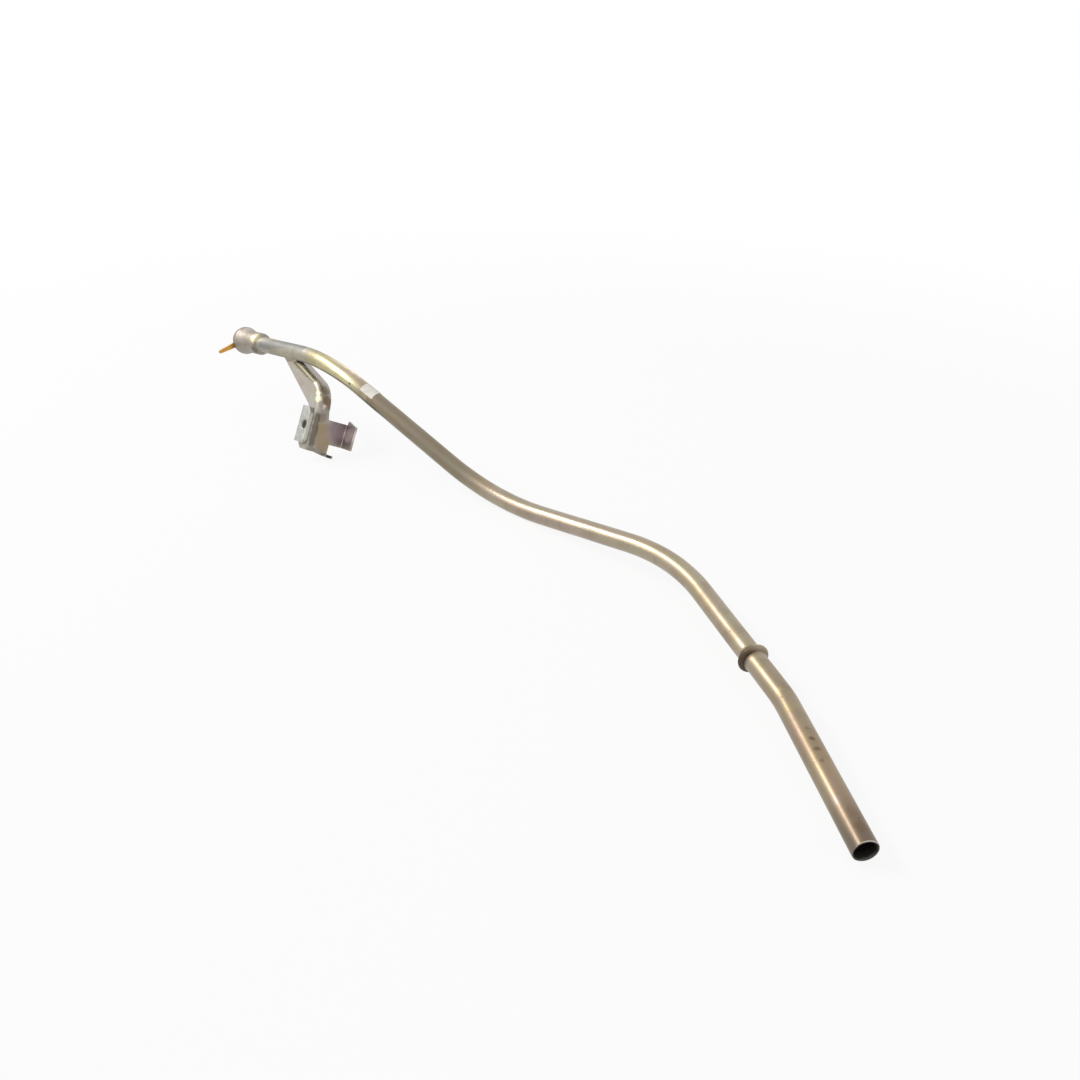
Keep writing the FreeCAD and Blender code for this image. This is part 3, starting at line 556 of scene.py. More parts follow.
# %% The tube's finish
TUBE_MARKS_AND_PAINTED_SHADE = (
    ((44.1, -23.5, 7.0), 1.6, (92, 78, 58), 0.7),
    ((39.4, -20.8, 6.8), 1.6, (96, 82, 60), 0.7),
    ((34.2, -17.4, 6.5), 1.4, (104, 90, 66), 0.6),
    ((48.9, -26.3, 7.3), 1.3, (110, 96, 70), 0.6),
    ((5.6, -3.2, 5.3), 3.4, (112, 92, 68), 0.6),
    ((11.2, -6.1, 5.5), 3.0, (122, 104, 78), 0.5),
    ((61.5, -31.0, 7.4), 3.6, (160, 150, 108), 0.5),
    ((71.1, -34.9, 7.5), 2.6, (182, 164, 128), 0.5),
    ((18.9, -6.7, 4.7), 2.6, (148, 136, 134), 0.4),
    ((392.0, -12.6, 42.1), 0.9, (66, 56, 40), 0.9),
    ((388.4, -18.7, 44.3), 3.0, (176, 148, 142), 0.70),
    ((393.0, -17.3, 46.2), 3.0, (184, 154, 150), 0.60),
    ((397.8, -15.3, 48.3), 3.0, (190, 162, 160), 0.60),
    ((403.6, -13.2, 50.8), 3.0, (190, 168, 160), 0.50),
    ((392.0, -14.7, 45.2), 1.6, (196, 192, 140), 0.60),
    ((398.4, -12.3, 47.5), 1.6, (206, 200, 150), 0.50),
    ((402.7, -9.5, 44.3), 3.2, (184, 178, 132), 0.60),
    ((410.7, -7.7, 46.0), 3.2, (180, 176, 138), 0.60),
    ((418.2, -5.7, 48.6), 3.2, (178, 168, 144), 0.50),
    ((380.5, -16.0, 37.3), 3.0, (178, 166, 134), 0.50),
    # painted shade: two grey streaks darken the head run's upper side
    ((440.0, -5.8, 51.9), 4.2, (134, 135, 132), 0.8, (459.4, -3.7, 49.5)),
    ((459.4, -3.7, 49.5), 4.4, (134, 135, 132), 0.9, (486.0, 3.4, 43.6)),
)
tube_finish = plated_steel(
    "tube_plating",
    {"Patch Scale": 150.0, "Gold Share": 0.9, "Green Share": 0.7, "Mauve Share": 0.7},
    roughness=(0.26, 0.38), straight=True, stain_and_shade=colour(80, 64, 50), tones=TUBE_TONES,
    patches=TUBE_MARKS_AND_PAINTED_SHADE, painted_sheen=colour(252, 243, 204), film_stretch=(1.0, 1.0, 0.12), dull=True,
)
print("made", tube_finish.name)

# %% [markdown]
# ## The plain metals
#
# Four small surfaces have no film: the cut ring of the mouth, its filed edge, the inside, painted near black
# as painted shade, and the brazing and welding metal. Each is two colours that a cloud mixes, with its own
# grain.

# %% Cut steel, filed edge and the bore's painted shade
def plain_finish(name, first, second, roughness, metallic, scale):
    """A finish of two colours, from 0 to 255, that a cloud mixes."""
    material, tree, output = new_material(name)
    place = object_place(tree)
    mix = between(tree, cloud(tree, place, scale, 5.0, 0.65), 0.35, 0.65)
    wear = cloud(tree, shifted(tree, place, (1.0, 2.0, 3.0)), scale, 3.0)
    rough = between(tree, wear, 0.3, 0.7, *roughness)
    shader = add(tree, "ShaderNodeBsdfPrincipled", {"Metallic": metallic})
    tree.links.new(blended(tree, mix, colour(*first), colour(*second)), shader.inputs["Base Color"])
    tree.links.new(rough, shader.inputs["Roughness"])
    relief = add(tree, "ShaderNodeBump", {
        "Height": cloud(tree, place, scale * 4, 3.0, 0.7), "Strength": 0.25, "Distance": 0.0002,
    })
    tree.links.new(relief.outputs["Normal"], shader.inputs["Normal"])
    tree.links.new(shader.outputs[0], output.inputs["Surface"])
    return material


cut_steel = plain_finish("cut_steel", (104, 101, 96), (66, 62, 57), (0.42, 0.6), 1.0, 700.0)
# painted shade: the bore is painted near black
painted_shade_bore = plain_finish("painted_shade_bore", (26, 22, 19), (40, 33, 27), (0.45, 0.65), 0.0, 300.0)
filed_edge = plain_finish("filed_edge", (214, 207, 196), (118, 110, 98), (0.3, 0.42), 1.0, 260.0)
print("made", cut_steel.name, painted_shade_bore.name, filed_edge.name)

# %% [markdown]
# ## The tube
#
# The tube is one skin of rings: out along the outside, round the cut end, and back along the inside.
# The rolled bead is a bulge of the same skin, as on the real tube, where the wall is folded outwards.
# Close rings follow the bends and the bead, so its outline stays round in close views. Each corner also
# notes its stain and painted shade, its painted highlight and how dull the film is, for the material to read.

# %% Build a skin from rings
def skin(rings, closed_along=True):
    """Corners and four-sided faces of a skin through rings of equal count."""
    count = len(rings[0])
    corners = [point for ring in rings for point in ring]
    faces = []
    for k in range(len(rings) if closed_along else len(rings) - 1):
        here, there = k * count, (k + 1) % len(rings) * count
        for j in range(count):
            following = (j + 1) % count
            faces.append((here + j, here + following, there + following, there + j))
    return corners, faces


def new_piece(name, corners, faces, place, materials, node=None, picks=None, sharp=35.0):
    """A mesh piece in the row frame that rides on the part and stands for a CAD node."""
    mesh = bpy.data.meshes.new(name)
    mesh.from_pydata([place @ corner for corner in corners], [], faces)
    shape = bmesh.new()
    shape.from_mesh(mesh)
    bmesh.ops.recalc_face_normals(shape, faces=shape.faces)
    shape.to_mesh(mesh)
    shape.free()
    mesh.shade_smooth()
    mesh.set_sharp_from_angle(angle=math.radians(sharp))
    for material in materials:
        mesh.materials.append(material)
    if picks:
        mesh.polygons.foreach_set("material_index", picks)
    piece = bpy.data.objects.new(name, mesh)
    bpy.context.collection.objects.link(piece)
    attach(piece, "root")
    if node:
        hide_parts(node)
    return piece


def note(piece, name, values, kind="FLOAT"):
    """Stores one value or vector per corner for the material."""
    attribute = piece.data.attributes.new(name, kind, "POINT")
    field = "value" if kind == "FLOAT" else "vector"
    flat = values if kind == "FLOAT" else [part for value in values for part in value]
    attribute.data.foreach_set(field, flat)


print("skins ready")

# %% The tube's rings
AROUND = 128
BEAD_AT = RUNS[0] + math.radians(BENDS[0][0]) * BENDS[0][1] + 20.5
BEAD_ROUND = 1.7
BEAD_REACH = 5.3
ROOT_LENGTH, ROOT_RISE, ROOT_EASE = 3.4, 0.04, 0.5
EDGE_BREAK = 0.2
LOWER_STEP, UPPER_STEP, INSIDE_STEP = 2.5, 2.2, 3.0


def outside_profile():
    """Length and radius of each ring along the outside."""
    rings = [(0.0, TUBE_RADIUS - EDGE_BREAK), (EDGE_BREAK, TUBE_RADIUS)]
    length = 1.5
    while length < BEAD_AT - ROOT_LENGTH - 1.0:
        rings.append((length, TUBE_RADIUS))
        length += LOWER_STEP
    root = BEAD_AT - ROOT_LENGTH
    rings += [(root - ROOT_EASE, TUBE_RADIUS), (root, TUBE_RADIUS + ROOT_RISE)]
    for degrees in range(176, 0, -8):
        angle = math.radians(degrees)
        rings.append((BEAD_AT + BEAD_ROUND * math.cos(angle), BEAD_REACH + BEAD_ROUND * math.sin(angle)))
    root = BEAD_AT + ROOT_LENGTH
    rings += [(root, TUBE_RADIUS + ROOT_RISE), (root + ROOT_EASE, TUBE_RADIUS)]
    length = root + 2.0
    while length < tube_length:
        rings.append((length, TUBE_RADIUS))
        length += UPPER_STEP
    rings.append((tube_length, TUBE_RADIUS))
    return rings


def ring_at(length, radius, wobble=0.0):
    """One ring of the tube, as points and as straightened coordinates in metres."""
    point, along, across = at(length)
    other = along.cross(across)
    ring, straight = [], []
    for j in range(AROUND):
        angle = 2 * math.pi * j / AROUND
        side = across * math.cos(angle) + other * math.sin(angle)
        wave = noise.noise(Vector((math.cos(angle) * 0.8, math.sin(angle) * 0.8, length / 9.0)))
        ring.append(point + side * (radius + wobble * wave))
        straight.append((radius * math.cos(angle) / 1000, radius * math.sin(angle) / 1000, length / 1000))
    return ring, straight


print("bead at", round(BEAD_AT, 1), "mm")

# %% What the film notes along the tube
FACING_BEAD, FACING_NECK = 50, 33


def ease(value, low, high):
    """A smooth way from 0 at low to 1 at high."""
    way = min(1.0, max(0.0, (value - low) / (high - low)))
    return way * way * (3 - 2 * way)


def turn_from(angle, facing):
    """An angle round the tube, from -180 to 180 degrees, counted from the side that faces the viewer."""
    return (angle - facing + 180) % 360 - 180


def painted_sheen_share(length, angle):
    """Painted highlight and painted reflection: two pale streaks along the neck, and a painted glint on the
    bead's crest.
    """
    neck_way = ease(length, 411, 427) * (1 - ease(length, 428, 452))
    turn = turn_from(angle, FACING_NECK - 20 * ease(length, 414, 474))
    streak = ease(max(0.0, 1 - abs(turn + 7) / 26), 0, 0.9)
    back = ease(turn, 42, 58) * (1 - ease(turn, 80, 110))
    crest = max(0.0, 1 - abs(length - BEAD_AT - 0.9) / 0.7) * ease(turn, 20, 60) * (1 - ease(turn, 110, 140))
    return max(0.75 * crest, neck_way * min(0.9, 0.08 + 0.7 * streak + 0.8 * back))


def dull_share(length):
    """How dull the film is: the head's run is matt, and the lower run is a little."""
    return max(ease(length, 436, 466), 0.3 * (1 - ease(length, 150, 220)))


def stain_and_shade_share(length, angle):
    """How dark the bead is: dirt, with painted shade under the bead and in its corners. One side is painted
    lighter, where light falls.
    """
    near = max(0.0, 1.0 - max(0.0, abs(length - BEAD_AT) - 2.0) / 1.6)
    lit_side = ease(turn_from(angle, FACING_BEAD), -20, 50)
    crest = 1 - ease(abs(length - BEAD_AT), 0.5, 1.6)
    return near * (0.95 - 0.65 * lit_side - 0.3 * crest * lit_side)


print("rubbed at the neck:", round(painted_sheen_share(428, FACING_NECK), 2))

# %% The tube's skin
WOBBLE = 0.02
outside = outside_profile()
inside_radius = TUBE_RADIUS - TUBE_WALL
inside = [(tube_length, inside_radius)]
inside += [(tube_length - INSIDE_STEP * k, inside_radius) for k in range(1, int(tube_length / INSIDE_STEP))]
inside += [(0.9, inside_radius), (0.25, inside_radius + 0.22), (0.0, inside_radius + 0.34)]
rings, straight, stain_and_shade_values, sheen_values, dulls = [], [], [], [], []
turns = [360.0 * j / AROUND for j in range(AROUND)]
for length, radius in outside:
    ring, flat = ring_at(length, radius, WOBBLE if 1.0 < length < tube_length - 1.0 else 0.0)
    rings.append(ring)
    straight += flat
    stain_and_shade_values += [stain_and_shade_share(length, angle) for angle in turns]
    sheen_values += [painted_sheen_share(length, angle) for angle in turns]
    dulls += [dull_share(length)] * AROUND
for length, radius in inside:
    ring, flat = ring_at(length, radius)
    rings.append(ring)
    straight += flat
    for notes in (stain_and_shade_values, sheen_values, dulls):
        notes += [0.0] * AROUND
corners, faces = skin(rings)
finishes = [tube_finish, cut_steel, painted_shade_bore, filed_edge]
FILM, CUT, BORE, EDGE = range(len(finishes))
picks = [EDGE] * AROUND + [FILM] * AROUND * (len(outside) - 2)
picks += [BORE] * (len(faces) - len(picks) - 3 * AROUND) + [CUT] * 3 * AROUND
tube = new_piece("bent_tube", corners, faces, to_row, finishes, "tube", picks)
note(tube, "straight", straight, "FLOAT_VECTOR")
for name, notes in (("stain_and_shade", stain_and_shade_values), ("painted_sheen", sheen_values), ("dull", dulls)):
    note(tube, name, notes)
print("bent_tube:", len(faces), "faces")

# %% [markdown]
# ## The filler socket
#
# The socket is a turned part, so half of its section is drawn once and spun about the tube's axis. Its
# corners are rounded in the section, which is far cheaper than rounding them in the solid.

# %% Sections with rounded corners
def rounded_section(corners, step=12.0):
    """A closed section of (x, radius from the axis, round) corners, each corner made an arc."""
    points = []
    for k, (x, y, round_radius) in enumerate(corners):
        here = Vector((x, y))
        if not round_radius:
            points.append(here)
            continue
        before = (Vector(corners[k - 1][:2]) - here).normalized()
        after = (Vector(corners[(k + 1) % len(corners)][:2]) - here).normalized()
        half = math.acos(max(-1.0, min(1.0, before.dot(after)))) / 2
        centre = here + (before + after).normalized() * (round_radius / math.sin(half))
        start = here + before * (round_radius / math.tan(half)) - centre
        sweep = math.pi - 2 * half
        sign = 1.0 if start.x * (here - centre).y - start.y * (here - centre).x > 0 else -1.0
        count = max(2, math.ceil(math.degrees(sweep) / step))
        for part in range(count + 1):
            angle = sign * sweep * part / count
            turned_x = start.x * math.cos(angle) - start.y * math.sin(angle)
            turned_y = start.x * math.sin(angle) + start.y * math.cos(angle)
            points.append(centre + Vector((turned_x, turned_y)))
    return points


def spun(section, around=AROUND):
    """A section spun about the X axis into rings."""
    angles = [2 * math.pi * j / around for j in range(around)]
    return [[Vector((p.x, p.y * math.cos(a), p.y * math.sin(a))) for a in angles] for p in section]


print("sections ready")

# %% Filler socket
RIM_OUTSIDE, RIM_INSIDE = 17.9 / 2, 16.0 / 2
SOCKET_OUTSIDE, SOCKET_LENGTH = 14.2 / 2, 24.0
socket_section = rounded_section([
    (0.0, RIM_INSIDE, 0.3),
    (0.0, RIM_OUTSIDE, 0.6),
    (2.5, RIM_OUTSIDE, 4.0),
    (9.5, SOCKET_OUTSIDE, 4.0),
    (SOCKET_LENGTH, SOCKET_OUTSIDE, 2.0),
    (SOCKET_LENGTH, TUBE_RADIUS, 0.0),
    (SEAT_DEPTH, TUBE_RADIUS, 0.0),
    (SEAT_DEPTH, 4.2, 0.0),
    (9.0, 12.2 / 2, 0.0),
])
corners, faces = skin(spun(socket_section))
SOCKET_TONE_AND_PAINTED_LIGHT = (
    # painted highlight on the socket's shoulder
    ((494.5, 2.8, 45.2), 4.6, (236, 228, 186), 0.75),
    # painted shade below the shoulder's hollow corner
    ((493.2, 5.2, 37.6), 3.2, (104, 102, 95), 0.7),
    ((511.5, 0.5, 46.0), 4.0, (200, 196, 190), 0.5),
)
socket_finish = plated_steel(
    "socket_plating",
    {"Grey": colour(166, 159, 152), "Gold": colour(160, 150, 136), "Green": colour(160, 158, 146),
     "Mauve": colour(160, 148, 147), "Patch Scale": 60.0, "Gold Share": 0.4, "Green Share": 0.4,
     "Mauve Share": 0.8},
    roughness=(0.5, 0.62), stain_and_shade=colour(112, 82, 44), patches=SOCKET_TONE_AND_PAINTED_LIGHT, coat=0.05,
)
socket = new_piece(
    "filler_socket", corners, faces, to_row @ head_frame, [socket_finish], "head_socket"
)
# painted shade with dirt: the socket's rim edge is darker
RIM_DIRT_AND_SHADE = 1.8
note(socket, "stain_and_shade", [max(0.0, 1.0 - point.x / RIM_DIRT_AND_SHADE) for point in socket_section for _ in range(AROUND)])
print("filler_socket:", len(faces), "faces")

# %% [markdown]
# ## The braze
#
# Behind the socket a little brazing metal has run out round the tube and fills the corner, so that
# socket and tube flow into each other. It is a thin ring whose foot wanders, so its section is drawn
# again at each angle with a little noise.

# %% Braze ring
BRAZE_LEG, BRAZE_TUCK, BRAZE_ROOT = 1.6, 0.65, 0.3
BRAZE_AROUND, BRAZE_PARTS = 96, 8
braze_from = SOCKET_LENGTH - BRAZE_TUCK
rings = []
for j in range(BRAZE_AROUND):
    angle = 2 * math.pi * j / BRAZE_AROUND
    wave = noise.noise(Vector((math.cos(angle) * 1.5, math.sin(angle) * 1.5, 3.0)))
    run_out = BRAZE_TUCK + BRAZE_LEG * (0.85 + 0.35 * wave)
    ring = [(braze_from - BRAZE_ROOT, TUBE_RADIUS - 0.05)]
    for part in range(BRAZE_PARTS + 1):
        turn = math.pi / 2 * part / BRAZE_PARTS
        x = braze_from + run_out * (1 - math.sin(turn))
        ring.append((x, TUBE_RADIUS + 0.02 + BRAZE_LEG * (1 - math.cos(turn))))
    ring.append((braze_from - BRAZE_ROOT, TUBE_RADIUS + BRAZE_LEG))
    rings.append([Vector((x, r * math.cos(angle), r * math.sin(angle))) for x, r in ring])
corners, faces = skin(rings)
braze_finish = plain_finish("braze_metal", (172, 165, 152), (150, 142, 128), (0.5, 0.65), 1.0, 500.0)
new_piece("braze_ring", corners, faces, to_row @ head_frame, [braze_finish], "braze_fillet")
print("braze_ring:", len(faces), "faces")

# %% [markdown]
# ## The bracket and its nut plate
#
# Both are flat-sided pressings whose solids are already right, so their CAD nodes stay. Their edges
# were sheared and tumbled, so modifiers merge the flat facets and round every sharp edge a little. The
# bracket's film shows gold on the web and mauve on the tab. Its other patches are painted light and shade:
# painted shade along the fold, by the nut and under the foot, dark painted reflections on the bent corner,
# and painted highlights on the bent corner and the tab's lip.

# %% Soft edges for the pressings
def soften(node, width):
    """Merges a CAD node's flat facets and rounds its sharp edges, by modifiers alone."""
    piece = nodes[node]
    weld = piece.modifiers.new("weld", "WELD")
    weld.merge_threshold = 1e-6
    flatten = piece.modifiers.new("flatten", "DECIMATE")
    flatten.decimate_type = "DISSOLVE"
    flatten.angle_limit = math.radians(0.5)
    bevel = piece.modifiers.new("edges", "BEVEL")
    bevel.width = width / 1000
    bevel.segments = 3
    bevel.limit_method = "ANGLE"
    bevel.angle_limit = math.radians(35)
    bevel.harden_normals = True
    bevel.use_clamp_overlap = True
    return piece


print("edges are softened by modifiers")

# %% Bracket and nut plate
BROWN_PAINTED_SHADE, OLIVE, GOLD = (128, 108, 88), (124, 114, 88), (160, 140, 110)
PURPLE, MAUVE, PALE_PAINTED_HIGHLIGHT, SHADED = (148, 132, 136), (166, 146, 142), (250, 238, 196), (98, 90, 78)
FOLD_PAINTED_SHADE = (106, 100, 82)
BRACKET_FILM_AND_PAINTED_LIGHT = (
    ((403.5, -10.0, 8.0), 11.5, PURPLE, 0.95),
    ((403.2, 2.6, 12.0), 6.2, GOLD, 0.85, (402.2, 3.4, 3.0)),
    ((402.8, -1.2, 8.0), 4.0, MAUVE, 0.6),
    # painted highlight: the tab's lip is painted lighter
    ((399.5, -15.0, 5.0), 6.5, (238, 224, 222), 0.95),
    ((402.2, -13.6, 11.0), 2.5, (238, 224, 222), 0.8),
    # painted shade: a dark streak dulls the fold's highlight
    ((447.0, -3.2, 41.6), 2.4, FOLD_PAINTED_SHADE, 0.95, (421.0, -3.2, 37.4)),
    ((411.5, -6.0, 33.4), 4.4, OLIVE, 0.85),
    # painted shade: dark reflections on the curved bent corner
    ((407.2, -4.6, 28.2), 4.2, BROWN_PAINTED_SHADE, 0.9),
    ((406.0, -5.8, 23.8), 3.4, BROWN_PAINTED_SHADE, 0.7),
    # painted highlight: a pink spot on the bent corner
    ((405.6, -1.4, 25.2), 1.8, (240, 214, 198), 0.8),
    ((404.8, 0.8, 19.0), 4.0, BROWN_PAINTED_SHADE, 0.5),
    # painted highlight widening the corner bend's highlight
    ((411.4, -0.9, 32.4), 2.4, PALE_PAINTED_HIGHLIGHT, 0.6),
    ((409.2, 0.3, 29.8), 2.8, PALE_PAINTED_HIGHLIGHT, 0.8),
    ((400.0, 12.0, 1.0), 4.5, OLIVE, 0.5),
    # painted shade in the corner line next to the nut
    ((404.6, 3.6, 21.0), 2.8, SHADED, 0.75, (401.6, 10.6, 5.8)),
    # painted shade under the foot
    ((395.0, 3.4, -2.4), 2.6, (44, 38, 34), 0.95),
)
bracket_finish = plated_steel(
    "bracket_plating",
    {"Grey": colour(174, 171, 165), "Gold": colour(172, 159, 140), "Green": colour(172, 173, 158),
     "Mauve": colour(172, 161, 161), "Patch Scale": 60.0, "Gold Share": 0.5, "Green Share": 0.6,
     "Mauve Share": 0.6},
    roughness=(0.42, 0.54), stretch=(1.0, 0.1, 1.0), patches=BRACKET_FILM_AND_PAINTED_LIGHT, coat=0.1,
)
nut_finish = plated_steel(
    "nut_zinc",
    {"Grey": colour(200, 201, 199), "Gold": colour(168, 167, 160), "Green": colour(176, 181, 174),
     "Mauve": colour(184, 183, 184), "Patch Scale": 260.0, "Gold Share": 0.8, "Green Share": 0.7,
     "Mauve Share": 0.6},
    roughness=(0.42, 0.58), stretch=(1.0, 1.0, 1.0), metallic=0.5, coat=0.0,
    patches=(
        # painted shade: the hole is painted dark
        ((409.8, 8.7, 14.5), 3.9, (58, 56, 53), 1.0),
        # painted highlight: a light streak on the plate's wall
        ((407.0, 6.0, 20.6), 2.3, (224, 224, 212), 1.0, (404.6, 12.6, 9.0)),
    ),
)
for node, width, finish in (("bracket", 0.22, bracket_finish), ("nut_plate", 0.25, nut_finish)):
    piece = soften(node, width)
    piece.data.materials.clear()
    piece.data.materials.append(finish)
    print("softened", node, "by", width, "mm")

# %% [markdown]
# ## The welds
#
# The flange is welded to the tube on both sides. A weld seam is a row of overlapping ripples, so each
# seam is a swept section whose size swells and falls along its length.

# %% Weld seams
SHEET_HALF, SEAM_ROOT = 0.8, 0.1
WELD_LEG, WELD_STEP, WELD_START = 1.6, 0.12, 0.8
RIPPLE_PITCH = 0.9


def weld_seam(side, start, length):
    """Rings of one seam on the flange's side (-1 or 1), from start along the bracket's x."""
    rings = []
    steps = int(length / WELD_STEP)
    for k in range(steps + 1):
        way = k / steps
        x = start + length * way
        end_fade = min(1.0, math.sqrt(max(0.0, 4.0 * min(way, 1 - way) * length / 6.0)))
        wave = noise.noise(Vector((x, side, 1.0)))
        ripple = 0.88 + 0.12 * abs(math.sin(math.pi * x / RIPPLE_PITCH)) + 0.08 * wave
        leg = WELD_LEG * (0.35 + 0.65 * end_fade) * ripple
        top = -math.sqrt(TUBE_RADIUS**2 - SHEET_HALF**2)
        foot_y = min(SHEET_HALF + leg, 3.4)
        foot = -math.sqrt(TUBE_RADIUS**2 - foot_y**2)
        root = side * (SHEET_HALF - SEAM_ROOT)
        ring = [Vector((x, root, top + 0.3)), Vector((x, root, top - leg))]
        first = Vector((x, side * SHEET_HALF, top - leg))
        last = Vector((x, side * foot_y, foot))
        for part in range(9):
            share = part / 8
            bulge = math.sin(math.pi * share) * 0.10 * leg
            point = first.lerp(last, share)
            ring.append(point + Vector((0, side * bulge, -bulge)))
        ring.append(Vector((x, side * (foot_y - 0.4), foot + 0.3)))
        rings.append(ring)
    return rings


corners, faces = [], []
for side, length in ((-1, 14.0), (1, 6.6)):
    rings = weld_seam(side, WELD_START, length)
    more_corners, more_faces = skin(rings, closed_along=False)
    count = len(rings[0])
    last_ring = range(len(more_corners) - count, len(more_corners))
    more_faces += [tuple(range(count)), tuple(reversed(last_ring))]
    faces += [tuple(index + len(corners) for index in face) for face in more_faces]
    corners += more_corners
weld_finish = plain_finish("weld_metal", (178, 172, 158), (146, 136, 118), (0.45, 0.6), 1.0, 600.0)
new_piece("weld_seams", corners, faces, to_row @ bracket_frame, [weld_finish], "bracket_weld")
print("weld_seams:", len(faces), "faces")

# %% [markdown]
# ## The plug
#
# The plug is a moulded stopper with a thin pull tab. Its body is spun from a section with rounded
# corners, and the tab is a flat outline, extruded and with its edges beveled. Thin plastic lets some
# light through, so its material scatters a little light. It has painted shade near the rim, and a cloud of
# dirt.

# %% Plug's body
PLUG_FRONT, PLUG_SEAT, PLUG_AXIS = -1.4, -0.02, 0.02
PLUG_FLANGE, PLUG_WALL, PLUG_HOLLOW = 8.4, 7.8, 6.4
PLUG_DEPTH, HOLLOW_DEPTH, PLUG_TAPER = 8.0, 6.5, 1.9 / 9.0
plug_section = rounded_section([
    (PLUG_FRONT, PLUG_FLANGE, 0.35),
    (PLUG_SEAT, PLUG_FLANGE, 0.25),
    (PLUG_SEAT, PLUG_WALL - 0.02, 0.0),
    (PLUG_DEPTH, PLUG_WALL - PLUG_DEPTH * PLUG_TAPER, 0.5),
    (PLUG_DEPTH, PLUG_AXIS, 0.0),
    (HOLLOW_DEPTH, PLUG_AXIS, 0.0),
    (HOLLOW_DEPTH, PLUG_HOLLOW - HOLLOW_DEPTH * PLUG_TAPER, 0.5),
    (PLUG_FRONT, PLUG_HOLLOW, 0.3),
])
corners, faces = skin(spun(plug_section, 96))
print("plug's body:", len(faces), "faces")

# %% Plug's pull tab
TAB_LENGTH, TAB_ROOT, TAB_TIP, TAB_START, TAB_PARTS = 20.3, 3.6, 2.2, -7.0, 12
tip, tip_centre = TAB_TIP / 2, TAB_TIP / 2 - TAB_LENGTH
tab_points = [(-TAB_ROOT / 2, TAB_START), (-tip, tip_centre)]
for part in range(1, TAB_PARTS):
    angle = math.pi + math.pi * part / TAB_PARTS
    tab_points.append((tip * math.cos(angle), tip_centre + tip * math.sin(angle)))
tab_points += [(tip, tip_centre), (TAB_ROOT / 2, TAB_START)]
tab = bmesh.new()
tab_face = tab.faces.new([tab.verts.new((PLUG_FRONT, y, z)) for y, z in tab_points])
walls = bmesh.ops.extrude_face_region(tab, geom=[tab_face])
raised = [item for item in walls["geom"] if isinstance(item, bmesh.types.BMVert)]
bmesh.ops.translate(tab, vec=(PLUG_SEAT - PLUG_FRONT, 0, 0), verts=raised)
bmesh.ops.bevel(tab, geom=list(tab.edges), offset=0.3, segments=3, affect="EDGES", profile=0.6)
bmesh.ops.recalc_face_normals(tab, faces=tab.faces)
tab.verts.index_update()
faces += [tuple(vert.index + len(corners) for vert in face.verts) for face in tab.faces]
corners += [vert.co.copy() for vert in tab.verts]
tab.free()
print("with its tab:", len(faces), "faces")

# %% Orange plastic
RIM_SHADE_REACH = 13.5
material, tree, output = new_material("orange_plastic")
place = object_place(tree)
tone = between(tree, cloud(tree, place, 120.0, 3.0), 0.3, 0.7)
shade = blended(tree, tone, colour(250, 200, 98), colour(238, 180, 74))
rim_middle = tuple(part * 1000 for part in to_row @ rim_centre)
# painted shade on the plug within the rim
shade = patched(tree, shade, ((rim_middle, RIM_SHADE_REACH, (132, 92, 46), 0.9),))
dirt_cloud = cloud(tree, shifted(tree, place, (2.0, 5.0, 1.0)), 420.0, 6.0, 0.7)
dirt = between(tree, dirt_cloud, 0.55, 0.75, 0.0, 0.35)
shade = blended(tree, dirt, shade, colour(150, 92, 40))
shader = add(tree, "ShaderNodeBsdfPrincipled", {
    "Subsurface Weight": 0.25, "Subsurface Scale": 0.002, "Subsurface Radius": (1.0, 0.5, 0.1),
    "IOR": 1.5,
})
relief = add(tree, "ShaderNodeBump", {
    "Height": cloud(tree, place, 1500.0, 3.0), "Strength": 0.12, "Distance": 0.0002,
})
tree.links.new(shade, shader.inputs["Base Color"])
tree.links.new(between(tree, dirt, 0.0, 0.5, 0.34, 0.6), shader.inputs["Roughness"])
tree.links.new(relief.outputs["Normal"], shader.inputs["Normal"])
tree.links.new(shader.outputs[0], output.inputs["Surface"])
new_piece("filler_plug", corners, faces, to_row @ plug_frame, [material], "plug")
print("filler_plug:", len(faces), "faces")

# %% [markdown]
# ## The label
#
# A small paper label is stuck round part of the tube. It is blank. Its edges lift a little from the
# steel, as old labels do, and handling has left it with grey smudges.

# %% Label
LABEL_LENGTH, LABEL_THICKNESS, LABEL_GAP, LABEL_BELOW_BEND = 10.0, 0.15, 0.02, 22.0
LABEL_START, LABEL_WRAP = 138.0, 200.0
CURL, FAR_CURL, CREASE, RAGGED = 0.22, 0.10, 0.03, 0.12
label_from = RUNS[3] + NECK_SHIFT - LABEL_BELOW_BEND - LABEL_LENGTH
upper_point, upper_along = upper[2], upper[3]
label_edge = turned(bend_sides[3], upper_along, BENDS[3][2] + LABEL_START)
label_other = upper_along.cross(label_edge)
COLUMNS, ROWS = 64, 14


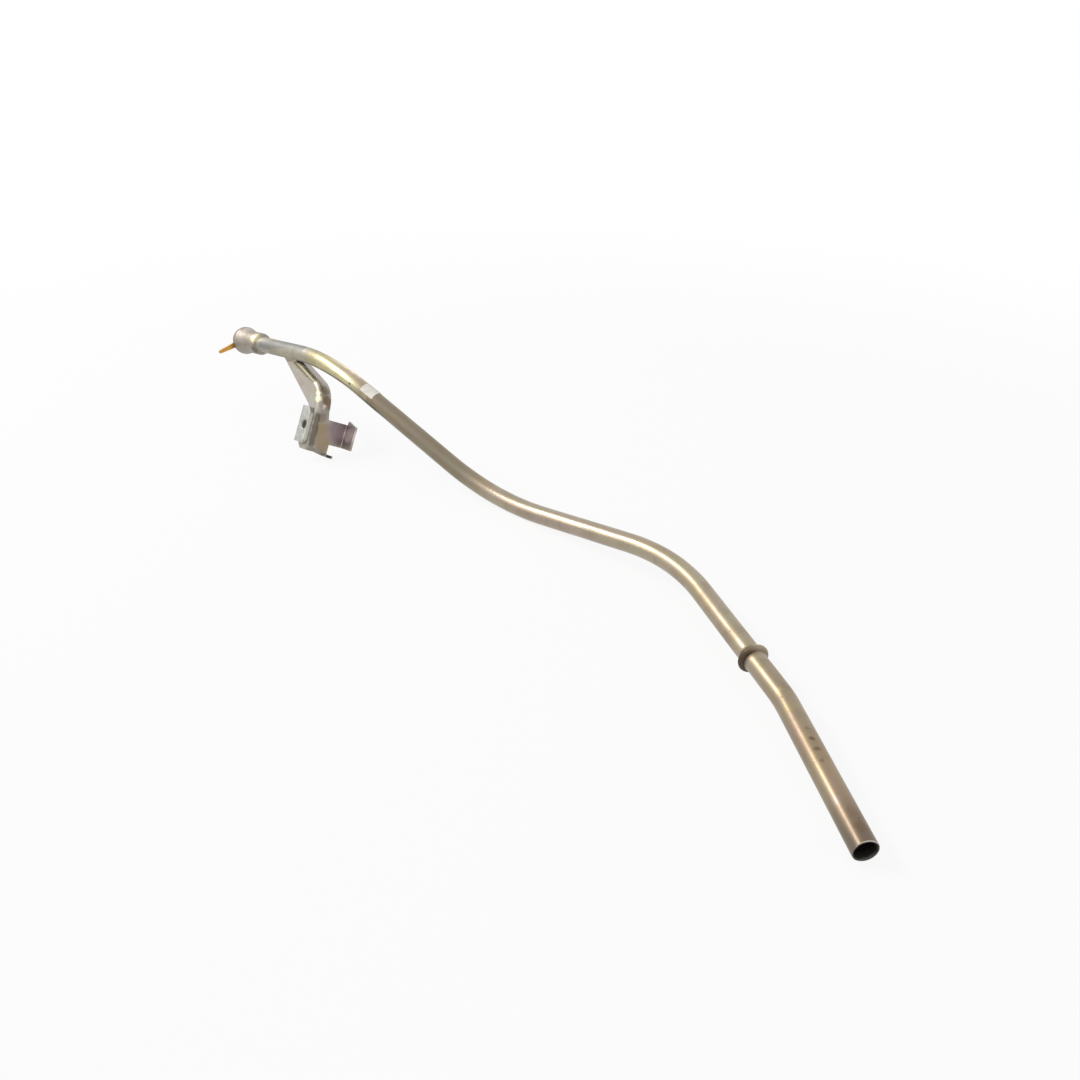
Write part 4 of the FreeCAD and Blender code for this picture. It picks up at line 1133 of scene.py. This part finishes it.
def paper_point(u, v, lift):
    """A point of the label: u along its wrap and v along the tube, both from 0 to 1."""
    angle = math.radians(LABEL_WRAP) * u
    curl = CURL * max(0.0, 1 - (1 - u) * 22) ** 2 + FAR_CURL * max(0.0, 1 - u * 22) ** 2
    crease = CREASE * noise.noise(Vector((u * 9.0, v * 3.0, 2.0)))
    radius = TUBE_RADIUS + lift + max(0.0, curl + crease)
    along = LABEL_LENGTH * v + RAGGED * noise.noise(Vector((u * 14.0, 0.0, 5.0))) * (2 * v - 1)
    across = label_edge * math.cos(angle) + label_other * math.sin(angle)
    return upper_point + upper_along * (label_from + along) + across * radius


corners = [
    paper_point(i / COLUMNS, j / ROWS, lift)
    for lift in (LABEL_GAP, LABEL_THICKNESS)
    for j in range(ROWS + 1)
    for i in range(COLUMNS + 1)
]
width, layer = COLUMNS + 1, (COLUMNS + 1) * (ROWS + 1)
faces = []
for j in range(ROWS):
    for i in range(COLUMNS):
        a, b, c, d = j * width + i, j * width + i + 1, (j + 1) * width + i + 1, (j + 1) * width + i
        faces.append((a, d, c, b))
        faces.append((a + layer, b + layer, c + layer, d + layer))
edge_loop = [*range(COLUMNS)] + [j * width + COLUMNS for j in range(ROWS)]
edge_loop += [ROWS * width + i for i in range(COLUMNS, 0, -1)] + [j * width for j in range(ROWS, 0, -1)]
for k, here in enumerate(edge_loop):
    there = edge_loop[(k + 1) % len(edge_loop)]
    faces.append((here, there, there + layer, here + layer))
print("paper_label:", len(faces), "faces")

# %% Label paper
material, tree, output = new_material("label_paper")
place = object_place(tree)
smear = between(tree, cloud(tree, place, 330.0, 5.0, 0.7), 0.48, 0.72, 0.0, 0.6)
paper = blended(tree, smear, colour(252, 248, 238), colour(206, 196, 182))
fibre = cloud(tree, place, 5200.0, 4.0, 0.7)
relief = add(tree, "ShaderNodeBump", {"Height": fibre, "Strength": 0.2, "Distance": 0.0001})
shader = add(tree, "ShaderNodeBsdfPrincipled")
tree.links.new(paper, shader.inputs["Base Color"])
tree.links.new(between(tree, fibre, 0.3, 0.7, 0.6, 0.75), shader.inputs["Roughness"])
tree.links.new(relief.outputs["Normal"], shader.inputs["Normal"])
tree.links.new(shader.outputs[0], output.inputs["Surface"])
new_piece("paper_label", corners, faces, to_row, [material], "label")
print("made", material.name)

# %% [markdown]
# ## Sizes
#
# Both boxes are written down, the CAD model's and this scene's, so that they can be compared.

# %% Sizes and finish
new_low, new_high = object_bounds()
pairs = zip((*new_low, *new_high), (*cad_low, *cad_high))
print("size change, mm:", [round((new - old) * 1000, 2) for new, old in pairs])
